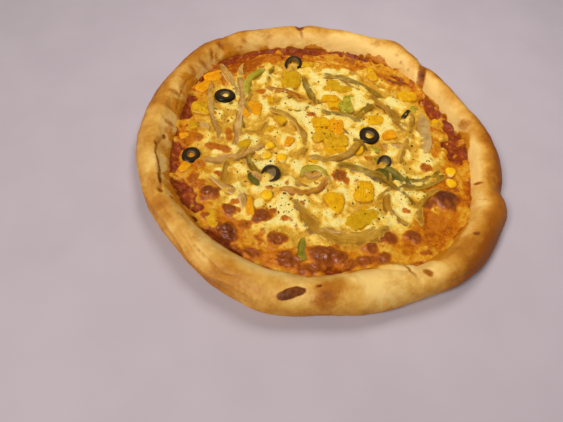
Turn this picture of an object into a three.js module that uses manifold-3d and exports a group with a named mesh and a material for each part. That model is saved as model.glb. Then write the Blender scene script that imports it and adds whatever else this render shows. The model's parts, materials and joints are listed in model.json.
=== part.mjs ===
// A baked vegetarian pizza, about 285 mm across: a dough base with a raised rim, a layer of tomato
// sauce, a layer of melted cheese, and the toppings that sit in the cheese or lie on it.
// Millimetres, +Z up. The origin is the middle of the flat underside, and -Y is the near side.
// Bearings are degrees anticlockwise from +X, seen from above.

import * as THREE from 'three';
import { mergeVertices } from 'three/addons/utils/BufferGeometryUtils.js';
import Module from 'manifold-3d';

const wasm = await Module();
wasm.setup();

// Driving dimensions.
const outerRadius = 141.5;
const toeRadius = 117;
const crestHeight = 22;
const floorHeight = 5;
const sauceHeight = 7.2;
const cheeseHeight = 10.6;
const gap = 0.3;
const pocketDepth = 2.2;
const pocketWallHeight = 8;

// How finely the round layers are divided.
const doughStations = 96;
const sauceStations = 40;
const cheeseStations = 48;
const cheeseRings = 4;
const diceSides = 10;
const oliveSides = 10;
const cornSides = 8;
const cornTiers = 5;
const stripSpacing = 8;
const stripSides = 6;

// The rim's section: share of the way from the outer edge to the toe, and share of the crest's height.
const rimSection = [
  [0.46, 0],
  [0.2, 0.09],
  [0.05, 0.27],
  [0, 0.46],
  [0.05, 0.66],
  [0.17, 0.84],
  [0.33, 0.96],
  [0.5, 1],
  [0.67, 0.94],
  [0.82, 0.78],
  [0.93, 0.58],
  [1, 0.4],
];
const slopeUnderSauce = 2;
const rimMiddleShare = 0.45;

// Where hands pulled the rim out or pressed it in: bearing and reach in degrees, and how far the
// outer edge, the toe and the crest move there.
const rimStretches = [
  { at: -150, reach: 22, outer: -3, toe: 0, crest: -1 },
  { at: -104, reach: 9, outer: 6, toe: 1, crest: 0.5 },
  { at: -76, reach: 8, outer: 1, toe: -3.5, crest: 0 },
  { at: -44, reach: 16, outer: 8, toe: 9.5, crest: 0 },
  { at: -26, reach: 4, outer: 3, toe: 1, crest: 1 },
  { at: 3, reach: 7, outer: 0, toe: 3, crest: -0.5 },
  { at: 28, reach: 16, outer: -10, toe: -5, crest: 0.5 },
  { at: 59, reach: 4, outer: 7.5, toe: -2, crest: 1 },
  { at: 84, reach: 14, outer: -2, toe: 0, crest: 0 },
  { at: 98, reach: 7, outer: 1.5, toe: 0, crest: 1.5 },
  { at: 132, reach: 15, outer: 8.5, toe: 9, crest: 0 },
  { at: 177, reach: 13, outer: 2, toe: -5, crest: -0.5 },
];

// Folds in the dough. Each runs from one bearing at the outer edge to another at the toe, and is
// pressed in by its depth over the shares of the section from first to last.
const foldFadeOut = 0.15;
const foldFadeIn = 0.05;
const rimFolds = [
  { outerAt: 46, toeAt: 37, reach: 1.8, depth: 2, first: 0, last: 1 },
  { outerAt: 97, toeAt: 97, reach: 2.2, depth: 2, first: 0, last: 0.6 },
  { outerAt: 127, toeAt: 131, reach: 2.5, depth: 1.5, first: 0.1, last: 0.8 },
  { outerAt: -19, toeAt: -16, reach: 2, depth: 1.5, first: 0, last: 0.5 },
  { outerAt: -58, toeAt: -63, reach: 2, depth: 1.2, first: 0.4, last: 1 },
];

// A crease that runs along the inner slope and rolls a lip of dough over the filling.
const lipCrease = { at: -164, reach: 12, share: 0.82, spread: 0.1, depth: 1.6 };

const sauceBevel = 0.2;

// Bays where the cheese drew back and left the sauce bare.
const sauceBays = [
  { at: -148, reach: 10, depth: 12 },
  { at: -118, reach: 5, depth: 5 },
  { at: -80, reach: 10, depth: 4 },
  { at: 2, reach: 12, depth: 13 },
  { at: 28, reach: 6, depth: 4 },
  { at: 46, reach: 8, depth: 8 },
  { at: 92, reach: 9, depth: 13 },
  { at: 124, reach: 12, depth: 8 },
  { at: 170, reach: 9, depth: 7 },
];
const cheeseInset = 4;
const cheeseLip = 1.4;
const cheeseRounding = 2.5;

// The waves that make the cheese's edge ragged: how many go round, their height and their phase.
const cheeseWaves = [
  { count: 7, height: 1.6, phase: 1 },
  { count: 13, height: 1.3, phase: 2.5 },
  { count: 19, height: 1, phase: 0 },
];

// Low mounds where the cheese puffed up: place, width and height.
const cheeseMounds = [
  { at: [92, -50], width: 22, height: 2 },
  { at: [6, -101], width: 22, height: 2 },
  { at: [-22, -104], width: 20, height: 1.6 },
  { at: [-76, -58], width: 18, height: 2 },
  { at: [-60, -72], width: 16, height: 1.5 },
  { at: [-18, 36], width: 24, height: 1.5 },
  { at: [80, -20], width: 22, height: 1 },
  { at: [-55, -42], width: 22, height: 1 },
  { at: [-38, 62], width: 24, height: 1 },
  { at: [4, 54], width: 18, height: 0.8 },
];

const looks = {
  dough: { color: 0xd4a35a, roughness: 0.65 },
  sauce: { color: 0x8b3c1e, roughness: 0.35 },
  cheese: { color: 0xf0d77d, roughness: 0.35 },
  olive: { color: 0x2c211a, roughness: 0.3 },
  corn: { color: 0xf5be23, roughness: 0.35 },
  onion: { color: 0xb9873c, roughness: 0.4 },
  yellow_pepper: { color: 0xd6a014, roughness: 0.35 },
  orange_pepper: { color: 0xe1960a, roughness: 0.35 },
  green_pepper: { color: 0x826e1e, roughness: 0.4 },
};

// Slices of olive: place, diameter, and the lean away from level about a bearing.
const oliveThickness = 4.2;
const oliveHoleShare = 0.36;
const oliveRounding = 0.9;
const oliveHoleRounding = 0.6;
const olives = {
  olive_west: { at: [-78.5, 43], width: 17.5, lean: 7, about: 150 },
  olive_southwest: { at: [-96, -24.5], width: 14.5, lean: 4, about: 60 },
  olive_east: { at: [41.5, 6.5], width: 17, lean: 3, about: 20 },
  olive_north: { at: [-22, 90], width: 16, lean: 9, about: 0 },
  olive_centre: { at: [-34, -38.5], width: 14, lean: 8, about: 45 },
  olive_small: { at: [51.5, -20.5], width: 11, lean: 6, about: 30 },
};

// Corn kernels: place, length and the bearing that the tip points to.
const cornHeight = 4.6;
const cornWidthShare = 0.86;
const cornNarrowing = 0.22;
const kernels = {
  corn_east: { at: [101, -26.5], length: 9.5, turn: 80 },
  corn_southeast: { at: [99.5, -37.5], length: 9, turn: -60 },
  corn_centre: { at: [-27, -22.5], length: 9.5, turn: 100 },
  corn_west: { at: [-39, -20.5], length: 9, turn: 20 },
  corn_south: { at: [-36, -57], length: 10, turn: -95 },
  corn_north: { at: [-37, -10.5], length: 8.5, turn: 40 },
};

// Diced pepper and other flat pieces: place, length and width, the bearing of the length, and how
// much narrower one end is than the other.
const diceThickness = 3.6;
const diceDome = 0.5;
const diceSquareness = 3.2;
const diceWallClearance = 0.6;
const dice = {
  yellow_pepper_north: { at: [-23, 69], size: [22, 17], turn: 85, taper: 0.1 },
  yellow_pepper_upper: { at: [19, 63], size: [20, 14], turn: -6, taper: 0.05 },
  yellow_pepper_square: { at: [14, 42], size: [13, 12], turn: 10, taper: 0 },
  yellow_pepper_inner: { at: [48, 24], size: [13, 12], turn: 12, taper: 0.15 },
  yellow_pepper_centre: { at: [2, 7], size: [22, 9], turn: 86, taper: -0.1 },
  yellow_pepper_middle: { at: [14, -8.5], size: [17, 16], turn: 20, taper: 0.1 },
  yellow_pepper_by_olive: { at: [32, -6.5], size: [14, 10], turn: 75, taper: 0.2 },
  yellow_pepper_west: { at: [-96, 26], size: [17, 14], turn: -30, taper: 0.15 },
  yellow_pepper_wedge: { at: [-57, -11], size: [14, 11], turn: 50, taper: 0.35 },
  yellow_pepper_south: { at: [34, -49], size: [18, 14], turn: 86, taper: 0 },
  yellow_pepper_triangle: { at: [13, -61], size: [18, 18], turn: -75, taper: 0.5 },
  yellow_pepper_long: { at: [32, -73], size: [26, 13], turn: 28, taper: 0.1 },
  yellow_pepper_east: { at: [78, 55], size: [16, 12], turn: 0, taper: 0.1 },
  yellow_pepper_drop: { at: [49, 82], size: [18, 10], turn: 100, taper: 0.4 },
  orange_pepper_centre: { at: [15, 14.5], size: [18, 14], turn: 84, taper: 0.1 },
  orange_pepper_west: { at: [-54, 29], size: [18, 16], turn: 78, taper: 0.1 },
  orange_pepper_strip: { at: [-48, -68], size: [19, 6.5], turn: -75, taper: 0.1 },
  green_pepper_upper: { at: [26, 42], size: [20, 9.5], turn: 82, taper: -0.1 },
  green_pepper_dark: { at: [51, -33], size: [17, 12], turn: 12, taper: 0.1 },
  green_pepper_wedge: { at: [-46, -45], size: [14, 8], turn: -62, taper: 0.4 },
  olive_sliver: { at: [74, 33], size: [12, 4], turn: 58, taper: 0.1 },
};

// Strips, each along a smooth line through a few places: width, thickness and sideways lean.
const strips = {
  green_pepper_curved: {
    through: [[-48, 80], [-57, 70], [-61, 57], [-61, 44]],
    width: 6.5,
    thickness: 3,
    lean: 5,
  },
  green_pepper_arch: {
    through: [[-12, -38], [-8, -31], [-2, -30], [4, -33], [6, -39]],
    width: 4.8,
    thickness: 3,
    lean: 6,
  },
  green_pepper_south: {
    through: [[-9, -91], [-11, -99], [-10, -108]],
    width: 6,
    thickness: 2.6,
    lean: 0,
  },
  onion_northwest: {
    through: [[-88, 87], [-80, 71], [-73, 57], [-66, 43]],
    width: 5.5,
    thickness: 1.8,
    lean: 9,
  },
  onion_west: {
    through: [[-66, 37], [-64.5, 24], [-63, 11], [-61, -2]],
    width: 7,
    thickness: 1.8,
    lean: -4,
  },
  onion_far_west: {
    through: [[-93, 58], [-91, 40], [-86, 19], [-75, -6]],
    width: 4.5,
    thickness: 1.6,
    lean: 10,
  },
  onion_north_arc: {
    through: [[-13, 76], [-9, 64], [-4, 50], [-1, 38]],
    width: 7,
    thickness: 1.8,
    lean: 6,
  },
  onion_north_hook: {
    through: [[2, 34], [9, 29], [20, 27], [34, 20]],
    width: 6,
    thickness: 1.6,
    lean: -7,
  },
  onion_upper: {
    through: [[-46, 56], [-36, 52], [-22, 50], [-9, 45]],
    width: 6,
    thickness: 1.8,
    lean: -5,
  },
  onion_long_arc: {
    through: [[-41, 33], [-24, 23], [-12, 8], [-10, -8], [-14, -20]],
    width: 6,
    thickness: 1.8,
    lean: 7,
  },
  onion_middle: {
    through: [[-7, -21], [8, -21], [22, -15], [36, 0]],
    width: 6,
    thickness: 1.6,
    lean: -5,
  },
  onion_north: {
    through: [[2, 78], [20, 73], [36, 67], [51, 56], [57, 49]],
    width: 6.5,
    thickness: 1.8,
    lean: -6,
  },
  onion_east: {
    through: [[41, 56], [54, 45], [65, 32], [72, 15]],
    width: 6.5,
    thickness: 1.8,
    lean: 5,
  },
  onion_far_east: {
    through: [[79, 37], [76, 13], [69, -5], [62, -25]],
    width: 5,
    thickness: 1.8,
    lean: 11,
  },
  onion_slab: {
    through: [[87, 34], [87, 17], [86, 3], [84, -9]],
    width: 10,
    thickness: 2.8,
    lean: -7,
  },
  onion_lower: {
    through: [[14, -26], [28, -28], [42, -34], [52, -40]],
    width: 7,
    thickness: 1.8,
    lean: -6,
  },
  onion_under_arc: {
    through: [[57, -41], [72, -42], [87, -37], [97, -25]],
    width: 5.5,
    thickness: 1.8,
    lean: 7,
  },
  onion_ring_left: {
    through: [[52, -48], [50, -61], [56, -71], [65, -76]],
    width: 5,
    thickness: 1.8,
    lean: 7,
  },
  onion_ring_right: {
    through: [[90, -45], [78, -51], [72, -62], [73, -76]],
    width: 5.5,
    thickness: 1.8,
    lean: -7,
  },
  onion_southwest: {
    through: [[-88, -28], [-70, -25], [-56, -20], [-42, -8]],
    width: 7,
    thickness: 1.8,
    lean: 4,
  },
  onion_by_olive: {
    through: [[-55, -25], [-51, -34], [-43, -41], [-31, -42]],
    width: 7,
    thickness: 1.8,
    lean: -4,
  },
  onion_lower_west: {
    through: [[-79, -42], [-65, -53], [-54, -60], [-51, -72]],
    width: 5,
    thickness: 1.6,
    lean: 5,
  },
  onion_loop: {
    through: [[-28, -51], [-12, -53], [2, -48], [9, -36]],
    width: 6,
    thickness: 1.8,
    lean: -7,
  },
  onion_south: {
    through: [[-19, -60], [-8, -74], [8, -90], [30, -91], [50, -77]],
    width: 8.5,
    thickness: 1.8,
    lean: -6,
  },
};

const radians = THREE.MathUtils.degToRad;

// A smooth hump that is 1 at its middle and fades over the given reach.
function hump(distance, reach) {
  return Math.exp(-0.5 * (distance / reach) ** 2);
}

// The shorter way round from one bearing to another, in degrees.
function bearingBetween(a, b) {
  return THREE.MathUtils.euclideanModulo(a - b + 180, 360) - 180;
}

// The total of one measure of all the entries that reach a bearing.
function sumAt(entries, bearing, measure) {
  return entries.reduce(
    (total, entry) => total + entry[measure] * hump(bearingBetween(bearing, entry.at), entry.reach),
    0,
  );
}

function rimOuter(bearing) {
  return outerRadius + sumAt(rimStretches, bearing, 'outer');
}

function rimToe(bearing) {
  return toeRadius + sumAt(rimStretches, bearing, 'toe');
}

// How far the folds and the lip's crease press the rim's skin in.
function rimPressing(bearing, share) {
  let depth = 0;
  for (const fold of rimFolds) {
    const begun = THREE.MathUtils.smoothstep(share, fold.first - foldFadeOut, fold.first + foldFadeIn);
    const ended = THREE.MathUtils.smoothstep(share, fold.last - foldFadeIn, fold.last + foldFadeOut);
    const middle = THREE.MathUtils.lerp(fold.outerAt, fold.toeAt, share);
    depth += fold.depth * begun * (1 - ended) * hump(bearingBetween(bearing, middle), fold.reach);
  }
  const { at, reach, share: creaseShare, spread, depth: creaseDepth } = lipCrease;
  depth += creaseDepth * hump(bearingBetween(bearing, at), reach) * hump(share - creaseShare, spread);
  return depth;
}

// The dough's section at a bearing, from the middle of the underside to the middle of the floor.
function doughSection(bearing) {
  const outer = rimOuter(bearing);
  const toe = rimToe(bearing);
  const crest = crestHeight + sumAt(rimStretches, bearing, 'crest');
  const middle = new THREE.Vector2((outer + toe) / 2, crest * rimMiddleShare);
  const skin = rimSection.map(([share, height]) => {
    const point = new THREE.Vector2(outer + (toe - outer) * share, crest * height);
    if (height === 0) return point;
    const inwards = middle.clone().sub(point).setLength(rimPressing(bearing, share));
    return point.add(inwards);
  });
  return [
    new THREE.Vector2(0, 0),
    ...skin,
    new THREE.Vector2(toe - slopeUnderSauce, floorHeight),
    new THREE.Vector2(0, floorHeight),
  ];
}

// The sauce's section, which fills the floor of the dough up to the foot of the rim.
function sauceSection(bearing) {
  const edge = rimToe(bearing) - slopeUnderSauce - gap;
  return [
    new THREE.Vector2(0, floorHeight + gap),
    new THREE.Vector2(edge - sauceBevel, floorHeight + gap),
    new THREE.Vector2(edge, sauceHeight),
    new THREE.Vector2(0, sauceHeight),
  ];
}

// The cheese's radius at a bearing: the toe's, less the inset and the bays, and ragged.
function cheeseEdge(bearing) {
  const ragged = cheeseWaves.reduce(
    (total, { count, height, phase }) => total + height * Math.sin(count * radians(bearing) + phase),
    0,
  );
  return rimToe(bearing) - cheeseInset - sumAt(sauceBays, bearing, 'depth') + ragged;
}

// The cheese's height at a place: slow rolling swells, with the mounds on top.
function cheeseTopAt(x, y) {
  const rolling = 0.35 * Math.sin(x / 11 + 0.6) * Math.cos(y / 13) + 0.25 * Math.sin((x + y) / 7);
  const mounds = cheeseMounds.reduce(
    (total, { at, width, height }) => total + height * hump(Math.hypot(x - at[0], y - at[1]), width / 3),
    0,
  );
  return cheeseHeight + rolling + mounds;
}

// The cheese's section, whose top follows the mounds and rounds down at the edge.
function cheeseSection(bearing) {
  const edge = cheeseEdge(bearing);
  const bottom = sauceHeight + gap;
  const direction = [Math.cos(radians(bearing)), Math.sin(radians(bearing))];
  const section = [
    new THREE.Vector2(0, bottom),
    new THREE.Vector2(edge, bottom),
    new THREE.Vector2(edge, bottom + cheeseLip),
  ];
  for (let ring = cheeseRings; ring > 0; ring -= 1) {
    const reach = ((edge - cheeseRounding) * ring) / cheeseRings;
    section.push(new THREE.Vector2(reach, cheeseTopAt(reach * direction[0], reach * direction[1])));
  }
  section.push(new THREE.Vector2(0, cheeseTopAt(0, 0)));
  return section;
}

// Leaves only places and faces, joins vertices that meet and drops faces with no area.
function closed(geometry) {
  geometry.deleteAttribute('normal');
  geometry.deleteAttribute('uv');
  const merged = mergeVertices(geometry, 1e-3);
  const corners = merged.index.array;
  const kept = [];
  for (let i = 0; i < corners.length; i += 3) {
    const [a, b, c] = corners.slice(i, i + 3);
    if (a !== b && b !== c && c !== a) kept.push(a, b, c);
  }
  merged.setIndex(kept);
  return merged;
}

// Moves each vertex of a geometry to where a function puts it.
function reshape(geometry, move) {
  const position = geometry.getAttribute('position');
  for (let i = 0; i < position.count; i += 1) {
    position.setXYZ(i, ...move(position.getX(i), position.getY(i), position.getZ(i)));
  }
  return geometry;
}

// A lathe turned about +Z whose section changes with the bearing.
function mouldedLathe(sectionAt, stations) {
  const geometry = new THREE.LatheGeometry(sectionAt(0), stations);
  const position = geometry.getAttribute('position');
  for (let station = 0; station <= stations; station += 1) {
    const bearing = ((station % stations) * 360) / stations;
    const section = sectionAt(bearing);
    section.forEach((point, row) => {
      const x = point.x * Math.cos(radians(bearing));
      const y = point.x * Math.sin(radians(bearing));
      position.setXYZ(station * section.length + row, x, y, point.y);
    });
  }
  return closed(geometry);
}

function toSolid(geometry) {
  return new wasm.Manifold(
    new wasm.Mesh({
      numProp: 3,
      vertProperties: new Float32Array(geometry.getAttribute('position').array),
      triVerts: new Uint32Array(geometry.index.array),
    }),
  );
}

function toGeometry(solid) {
  const mesh = solid.getMesh();
  const geometry = new THREE.BufferGeometry();
  geometry.setAttribute('position', new THREE.BufferAttribute(mesh.vertProperties, 3));
  geometry.setIndex(new THREE.BufferAttribute(mesh.triVerts, 1));
  return geometry;
}

// Heights of what already lies on the pizza, kept for each cell of a square grid.
class Skyline {
  constructor() {
    this.half = 320;
    this.cellSize = 0.5;
    this.side = 2 * this.half + 1;
    this.cells = new Float32Array(this.side * this.side);
  }

  cellAt(x, y) {
    const column = Math.round(x / this.cellSize) + this.half;
    const row = Math.round(y / this.cellSize) + this.half;
    return row * this.side + column;
  }

  // Raises the cells under each face, which is sampled more finely than the cells.
  add(geometry) {
    const position = geometry.getAttribute('position');
    const corners = geometry.index.array;
    const [a, b, c, point] = [0, 1, 2, 3].map(() => new THREE.Vector3());
    for (let i = 0; i < corners.length; i += 3) {
      a.fromBufferAttribute(position, corners[i]);
      b.fromBufferAttribute(position, corners[i + 1]).sub(a);
      c.fromBufferAttribute(position, corners[i + 2]).sub(a);
      const steps = Math.ceil((1.5 * Math.max(b.length(), c.length())) / this.cellSize) + 1;
      for (let u = 0; u <= steps; u += 1) {
        for (let v = 0; v <= steps - u; v += 1) {
          point.copy(a).addScaledVector(b, u / steps).addScaledVector(c, v / steps);
          const cell = this.cellAt(point.x, point.y);
          this.cells[cell] = Math.max(this.cells[cell], point.z);
        }
      }
    }
  }

  // The highest point within one cell of a place.
  highest(x, y) {
    let height = 0;
    for (const column of [-1, 0, 1]) {
      for (const row of [-1, 0, 1]) {
        const cell = this.cellAt(x + column * this.cellSize, y + row * this.cellSize);
        height = Math.max(height, this.cells[cell]);
      }
    }
    return height;
  }
}

const cheeseSkyline = new Skyline();
const toppingSkyline = new Skyline();
const pizza = new THREE.Group();
let cheeseSolid;

function addPiece(name, geometry, look) {
  const material = new THREE.MeshStandardMaterial({ ...looks[look], metalness: 0 });
  const mesh = new THREE.Mesh(geometry, material);
  mesh.name = name;
  pizza.add(mesh);
}

// The underside's height for a flat piece: sunk in the cheese, or clear of what it crosses.
function seatHeight([x, y], [length, width], turn) {
  const along = [Math.cos(radians(turn)), Math.sin(radians(turn))];
  let crossed = 0;
  for (let bearing = 0; bearing < 360; bearing += 15) {
    for (const share of [0, 0.25, 0.5]) {
      const u = share * length * Math.cos(radians(bearing));
      const v = share * width * Math.sin(radians(bearing));
      const place = [x + u * along[0] - v * along[1], y + u * along[1] + v * along[0]];
      crossed = Math.max(crossed, toppingSkyline.highest(...place));
    }
  }
  return Math.max(cheeseSkyline.highest(x, y) - pocketDepth, crossed + gap);
}

// Cuts a pocket out of the cheese for a piece that sits in it.
function cutPocket(cutter) {
  cheeseSolid = cheeseSolid.subtract(toSolid(closed(cutter)));
}

// A slice of olive: a round-edged ring, leaning a little.
function oliveSlice(at, width, lean, about, base) {
  const outer = width / 2;
  const hole = outer * oliveHoleShare;
  const half = oliveThickness / 2;
  const profile = [
    new THREE.Vector2(hole, 0),
    new THREE.Vector2(hole + oliveHoleRounding, -half),
    new THREE.Vector2(outer - oliveRounding, -half),
    new THREE.Vector2(outer, 0),
    new THREE.Vector2(outer - oliveRounding, half),
    new THREE.Vector2(hole + oliveHoleRounding, half),
    new THREE.Vector2(hole, 0),
  ];
  const geometry = new THREE.LatheGeometry(profile, oliveSides);
  return placeLeaning(geometry.rotateX(Math.PI / 2), at, lean, about, base + half);
}

// Leans a geometry about a level axis and lifts it to its place.
function placeLeaning(geometry, at, lean, about, height) {
  const axis = new THREE.Vector3(Math.cos(radians(about)), Math.sin(radians(about)), 0);
  geometry.applyMatrix4(new THREE.Matrix4().makeRotationAxis(axis, radians(lean)));
  return closed(geometry.translate(at[0], at[1], height));
}

function addOlives() {
  for (const [name, { at, width, lean, about }] of Object.entries(olives)) {
    const leanRise = (width / 2) * Math.sin(radians(lean));
    const base = seatHeight(at, [width, width], 0) + leanRise * 0.5;
    const geometry = oliveSlice(at, width, lean, about, base);
    const radius = width / 2 + gap;
    const cutter = new THREE.CylinderGeometry(radius, radius, pocketWallHeight, oliveSides)
      .rotateX(Math.PI / 2);
    const cutterMiddle = base - gap + pocketWallHeight / 2;
    cutPocket(placeLeaning(cutter, at, lean, about, cutterMiddle));
    toppingSkyline.add(geometry);
    addPiece(name, geometry, 'olive');
  }
}

// A corn kernel: an egg shape, flatter than it is wide, with a narrower tip, grown all round.
function kernel({ at, length, turn }, base, grow) {
  const geometry = new THREE.SphereGeometry(1, cornSides, cornTiers).rotateX(Math.PI / 2);
  reshape(geometry, (x, y, z) => {
    const narrow = 1 - cornNarrowing * x;
    const width = length * cornWidthShare;
    return [x * (length / 2 + grow), y * narrow * (width / 2 + grow), z * (cornHeight / 2 + grow)];
  });
  geometry.rotateZ(radians(turn));
  return closed(geometry.translate(at[0], at[1], base + cornHeight / 2));
}

function addCorn() {
  for (const [name, piece] of Object.entries(kernels)) {
    const base = seatHeight(piece.at, [piece.length, piece.length], 0);
    const geometry = kernel(piece, base, 0);
    cutPocket(kernel(piece, base, gap));
    toppingSkyline.add(geometry);
    addPiece(name, geometry, 'corn');
  }
}

// A flat piece with a rounded, uneven outline and a slightly domed top. Its outline is a
// squared-off ellipse that narrows to one end and wavers by an amount taken from its place.
function dicePiece({ at, size, turn, taper }, base, grow, thickness, dome) {
  const geometry = new THREE.CylinderGeometry(0.92, 1, 1, diceSides).rotateX(Math.PI / 2);
  reshape(geometry, (x, y, z) => {
    const angle = Math.atan2(y, x);
    const halfLength = size[0] / 2 + grow;
    const halfWidth = size[1] / 2 + grow;
    const squared = (Math.abs(Math.cos(angle)) / halfLength) ** diceSquareness
      + (Math.abs(Math.sin(angle)) / halfWidth) ** diceSquareness;
    const waver = 1 - 0.04 * (1 + Math.sin(3 * angle + at[0])) - 0.03 * (1 + Math.sin(5 * angle + at[1]));
    const radius = Math.hypot(x, y) * squared ** (-1 / diceSquareness) * waver;
    const narrow = 1 - taper * Math.cos(angle);
    const domed = Math.hypot(x, y) < 0.01 ? dome : 0;
    const height = z > 0 ? thickness + domed : 0;
    return [radius * Math.cos(angle), (radius * Math.sin(angle) * narrow) / (1 + Math.abs(taper)), height];
  });
  geometry.rotateZ(radians(turn));
  return closed(geometry.translate(at[0], at[1], base));
}

function addDice() {
  for (const [name, piece] of Object.entries(dice)) {
    const base = seatHeight(piece.at, piece.size, piece.turn);
    const look = name.startsWith('olive') ? 'olive' : name.replace(/_pepper.*/, '_pepper');
    const geometry = dicePiece(piece, base, 0, diceThickness, diceDome);
    cutPocket(dicePiece(piece, base - gap, diceWallClearance, pocketWallHeight, 0));
    toppingSkyline.add(geometry);
    addPiece(name, geometry, look);
  }
}

// The height that clears everything under a strip from one share of its path to another.
function clearHeight(path, from, to, across) {
  let height = 0;
  for (let step = 0; step <= 8; step += 1) {
    const share = THREE.MathUtils.clamp(THREE.MathUtils.lerp(from, to, step / 8), 0, 1);
    const point = path.getPointAt(share);
    const tangent = path.getTangentAt(share);
    for (const side of [-1, -0.5, 0, 0.5, 1]) {
      const x = point.x + tangent.y * side * across;
      const y = point.y - tangent.x * side * across;
      height = Math.max(height, cheeseSkyline.highest(x, y), toppingSkyline.highest(x, y));
    }
  }
  return height;
}

// A strip that lies over what is already on the pizza, rounded and narrowed at its ends.
function strip({ through, width, thickness, lean }) {
  const path = new THREE.CatmullRomCurve3(through.map(([x, y]) => new THREE.Vector3(x, y, 0)));
  const segments = Math.ceil(path.getLength() / stripSpacing);
  const rise = (width / 2) * Math.abs(Math.sin(radians(lean))) + (thickness / 2) * Math.cos(radians(lean));
  const heights = [];
  for (let i = 0; i <= segments; i += 1) {
    const below = clearHeight(path, (i - 1) / segments, (i + 1) / segments, width / 2);
    heights.push(below + gap + rise);
  }
  const geometry = new THREE.CylinderGeometry(1, 1, 1, stripSides, segments);
  reshape(geometry, (x, y, z) => {
    const share = THREE.MathUtils.clamp(y + 0.5, 0, 1);
    const point = path.getPointAt(share);
    const tangent = path.getTangentAt(share);
    const end = Math.abs(2 * share - 1) ** 6;
    const across = (x * width * (1 - 0.5 * end)) / 2;
    const up = (z * thickness) / 2;
    const level = across * Math.cos(radians(lean)) - up * Math.sin(radians(lean));
    const upright = across * Math.sin(radians(lean)) + up * Math.cos(radians(lean));
    const height = heights[Math.round(share * segments)];
    return [point.x + tangent.y * level, point.y - tangent.x * level, height + upright];
  });
  return closed(geometry);
}

function addStrips() {
  for (const [name, piece] of Object.entries(strips)) {
    const look = name.startsWith('green') ? 'green_pepper' : 'onion';
    const geometry = strip(piece);
    toppingSkyline.add(geometry);
    addPiece(name, geometry, look);
  }
}

addPiece('dough', mouldedLathe(doughSection, doughStations), 'dough');
addPiece('sauce', mouldedLathe(sauceSection, sauceStations), 'sauce');

const plainCheese = mouldedLathe(cheeseSection, cheeseStations);
cheeseSkyline.add(plainCheese);
cheeseSolid = toSolid(plainCheese);
addDice();
addOlives();
addCorn();
addStrips();
addPiece('cheese', toGeometry(cheeseSolid), 'cheese');

export default pizza;
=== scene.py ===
import json
import math

import bpy
import numpy as np
from mathutils import Matrix, Vector


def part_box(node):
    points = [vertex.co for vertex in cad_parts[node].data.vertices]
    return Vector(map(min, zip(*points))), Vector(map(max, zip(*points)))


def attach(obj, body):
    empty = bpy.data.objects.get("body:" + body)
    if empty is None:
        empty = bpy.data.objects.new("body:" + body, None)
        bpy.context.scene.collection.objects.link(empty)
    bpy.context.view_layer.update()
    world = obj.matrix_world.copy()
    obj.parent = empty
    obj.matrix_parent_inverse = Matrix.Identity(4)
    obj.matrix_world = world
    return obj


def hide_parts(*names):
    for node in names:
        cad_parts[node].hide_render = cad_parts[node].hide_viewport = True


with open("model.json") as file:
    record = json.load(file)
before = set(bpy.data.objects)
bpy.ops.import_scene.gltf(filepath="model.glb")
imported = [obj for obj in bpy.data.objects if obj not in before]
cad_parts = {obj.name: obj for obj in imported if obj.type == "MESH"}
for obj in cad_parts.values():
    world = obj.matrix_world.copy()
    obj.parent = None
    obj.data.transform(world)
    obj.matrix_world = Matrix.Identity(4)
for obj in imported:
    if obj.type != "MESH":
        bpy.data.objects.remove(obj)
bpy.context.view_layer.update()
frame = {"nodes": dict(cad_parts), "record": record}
print("frame loaded:", len(frame["nodes"]), "nodes")

# Everything is worked out in millimetres and becomes metres in addPiece. Bearings are degrees
# anticlockwise from +X. A share is a part of the radius at which the rim's toe meets the filling.
layout = {
    "bearings": 700,  # columns round the dough, the sauce and the cheese
    "cell": 0.4,  # mm, spacing of the height maps
    "reach": 133,  # mm, half the width of the height maps
    "rimRadius": 128,  # mm, about where the rim is highest
    "underRim": 2.2,  # mm that the cheese and the sauce go on under the crust
}
mapSide = int(2 * layout["reach"] / layout["cell"]) + 1


def smooth(value, low, high):
    # 0 below low, 1 above high, and 3t^2 - 2t^3 between them
    part = np.clip((value - low) / (high - low), 0, 1)
    return part * part * (3 - 2 * part)


def curveThrough(points, places, closed=False):
    # Catmull-Rom: at place i + t the curve is the cubic through points i - 1 to i + 2
    points = np.asarray(points, float)
    first = np.floor(places).astype(int)
    t = (places - first).reshape(-1, *[1] * (points.ndim - 1))
    mode = "wrap" if closed else "clip"
    before, here, after, beyond = (points.take(first + step, 0, mode=mode) for step in (-1, 0, 1, 2))
    bend = 2 * before - 5 * here + 4 * after - beyond + t * (3 * here - before - 3 * after + beyond)
    return here + t / 2 * (after - before + t * bend)


def soften(field, size, spacing=(layout["cell"], layout["cell"])):
    # a Gaussian blur: every wave fades by exp(-(its number x size)^2 / 2)
    down, across = np.fft.fftfreq(field.shape[0], spacing[0]), np.fft.rfftfreq(field.shape[1], spacing[1])
    fade = np.exp(-2 * (math.pi * size) ** 2 * (down[:, None] ** 2 + across ** 2))
    return np.fft.irfft2(np.fft.rfft2(field) * fade, s=field.shape)


def cloud(size, seed, shape=(mapSide, mapSide), **spacing):
    # blurred white noise, whose heights spread by 1
    soft = soften(np.random.default_rng(seed).normal(size=shape), size, **spacing)
    return soft / soft.std()


def around(count):
    # angles spread evenly round a circle
    return np.arange(count) * math.tau / count


def leftOf(heading):
    # a quarter turn anticlockwise from a direction
    return np.stack([-heading[..., 1], heading[..., 0]], -1)


def placed(name, data):
    # a new object of the scene
    made = bpy.data.objects.new(name, data)
    bpy.context.scene.collection.objects.link(made)
    return made


def farOut(u, v, length, width, turn):
    # how far (u, v) is from an oval's middle, as a part of the way to its edge; it is turned by degrees
    turn = math.radians(turn)
    level, upright = u * math.cos(turn) + v * math.sin(turn), v * math.cos(turn) - u * math.sin(turn)
    return np.hypot(level / length * 2, upright / width * 2)


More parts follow.
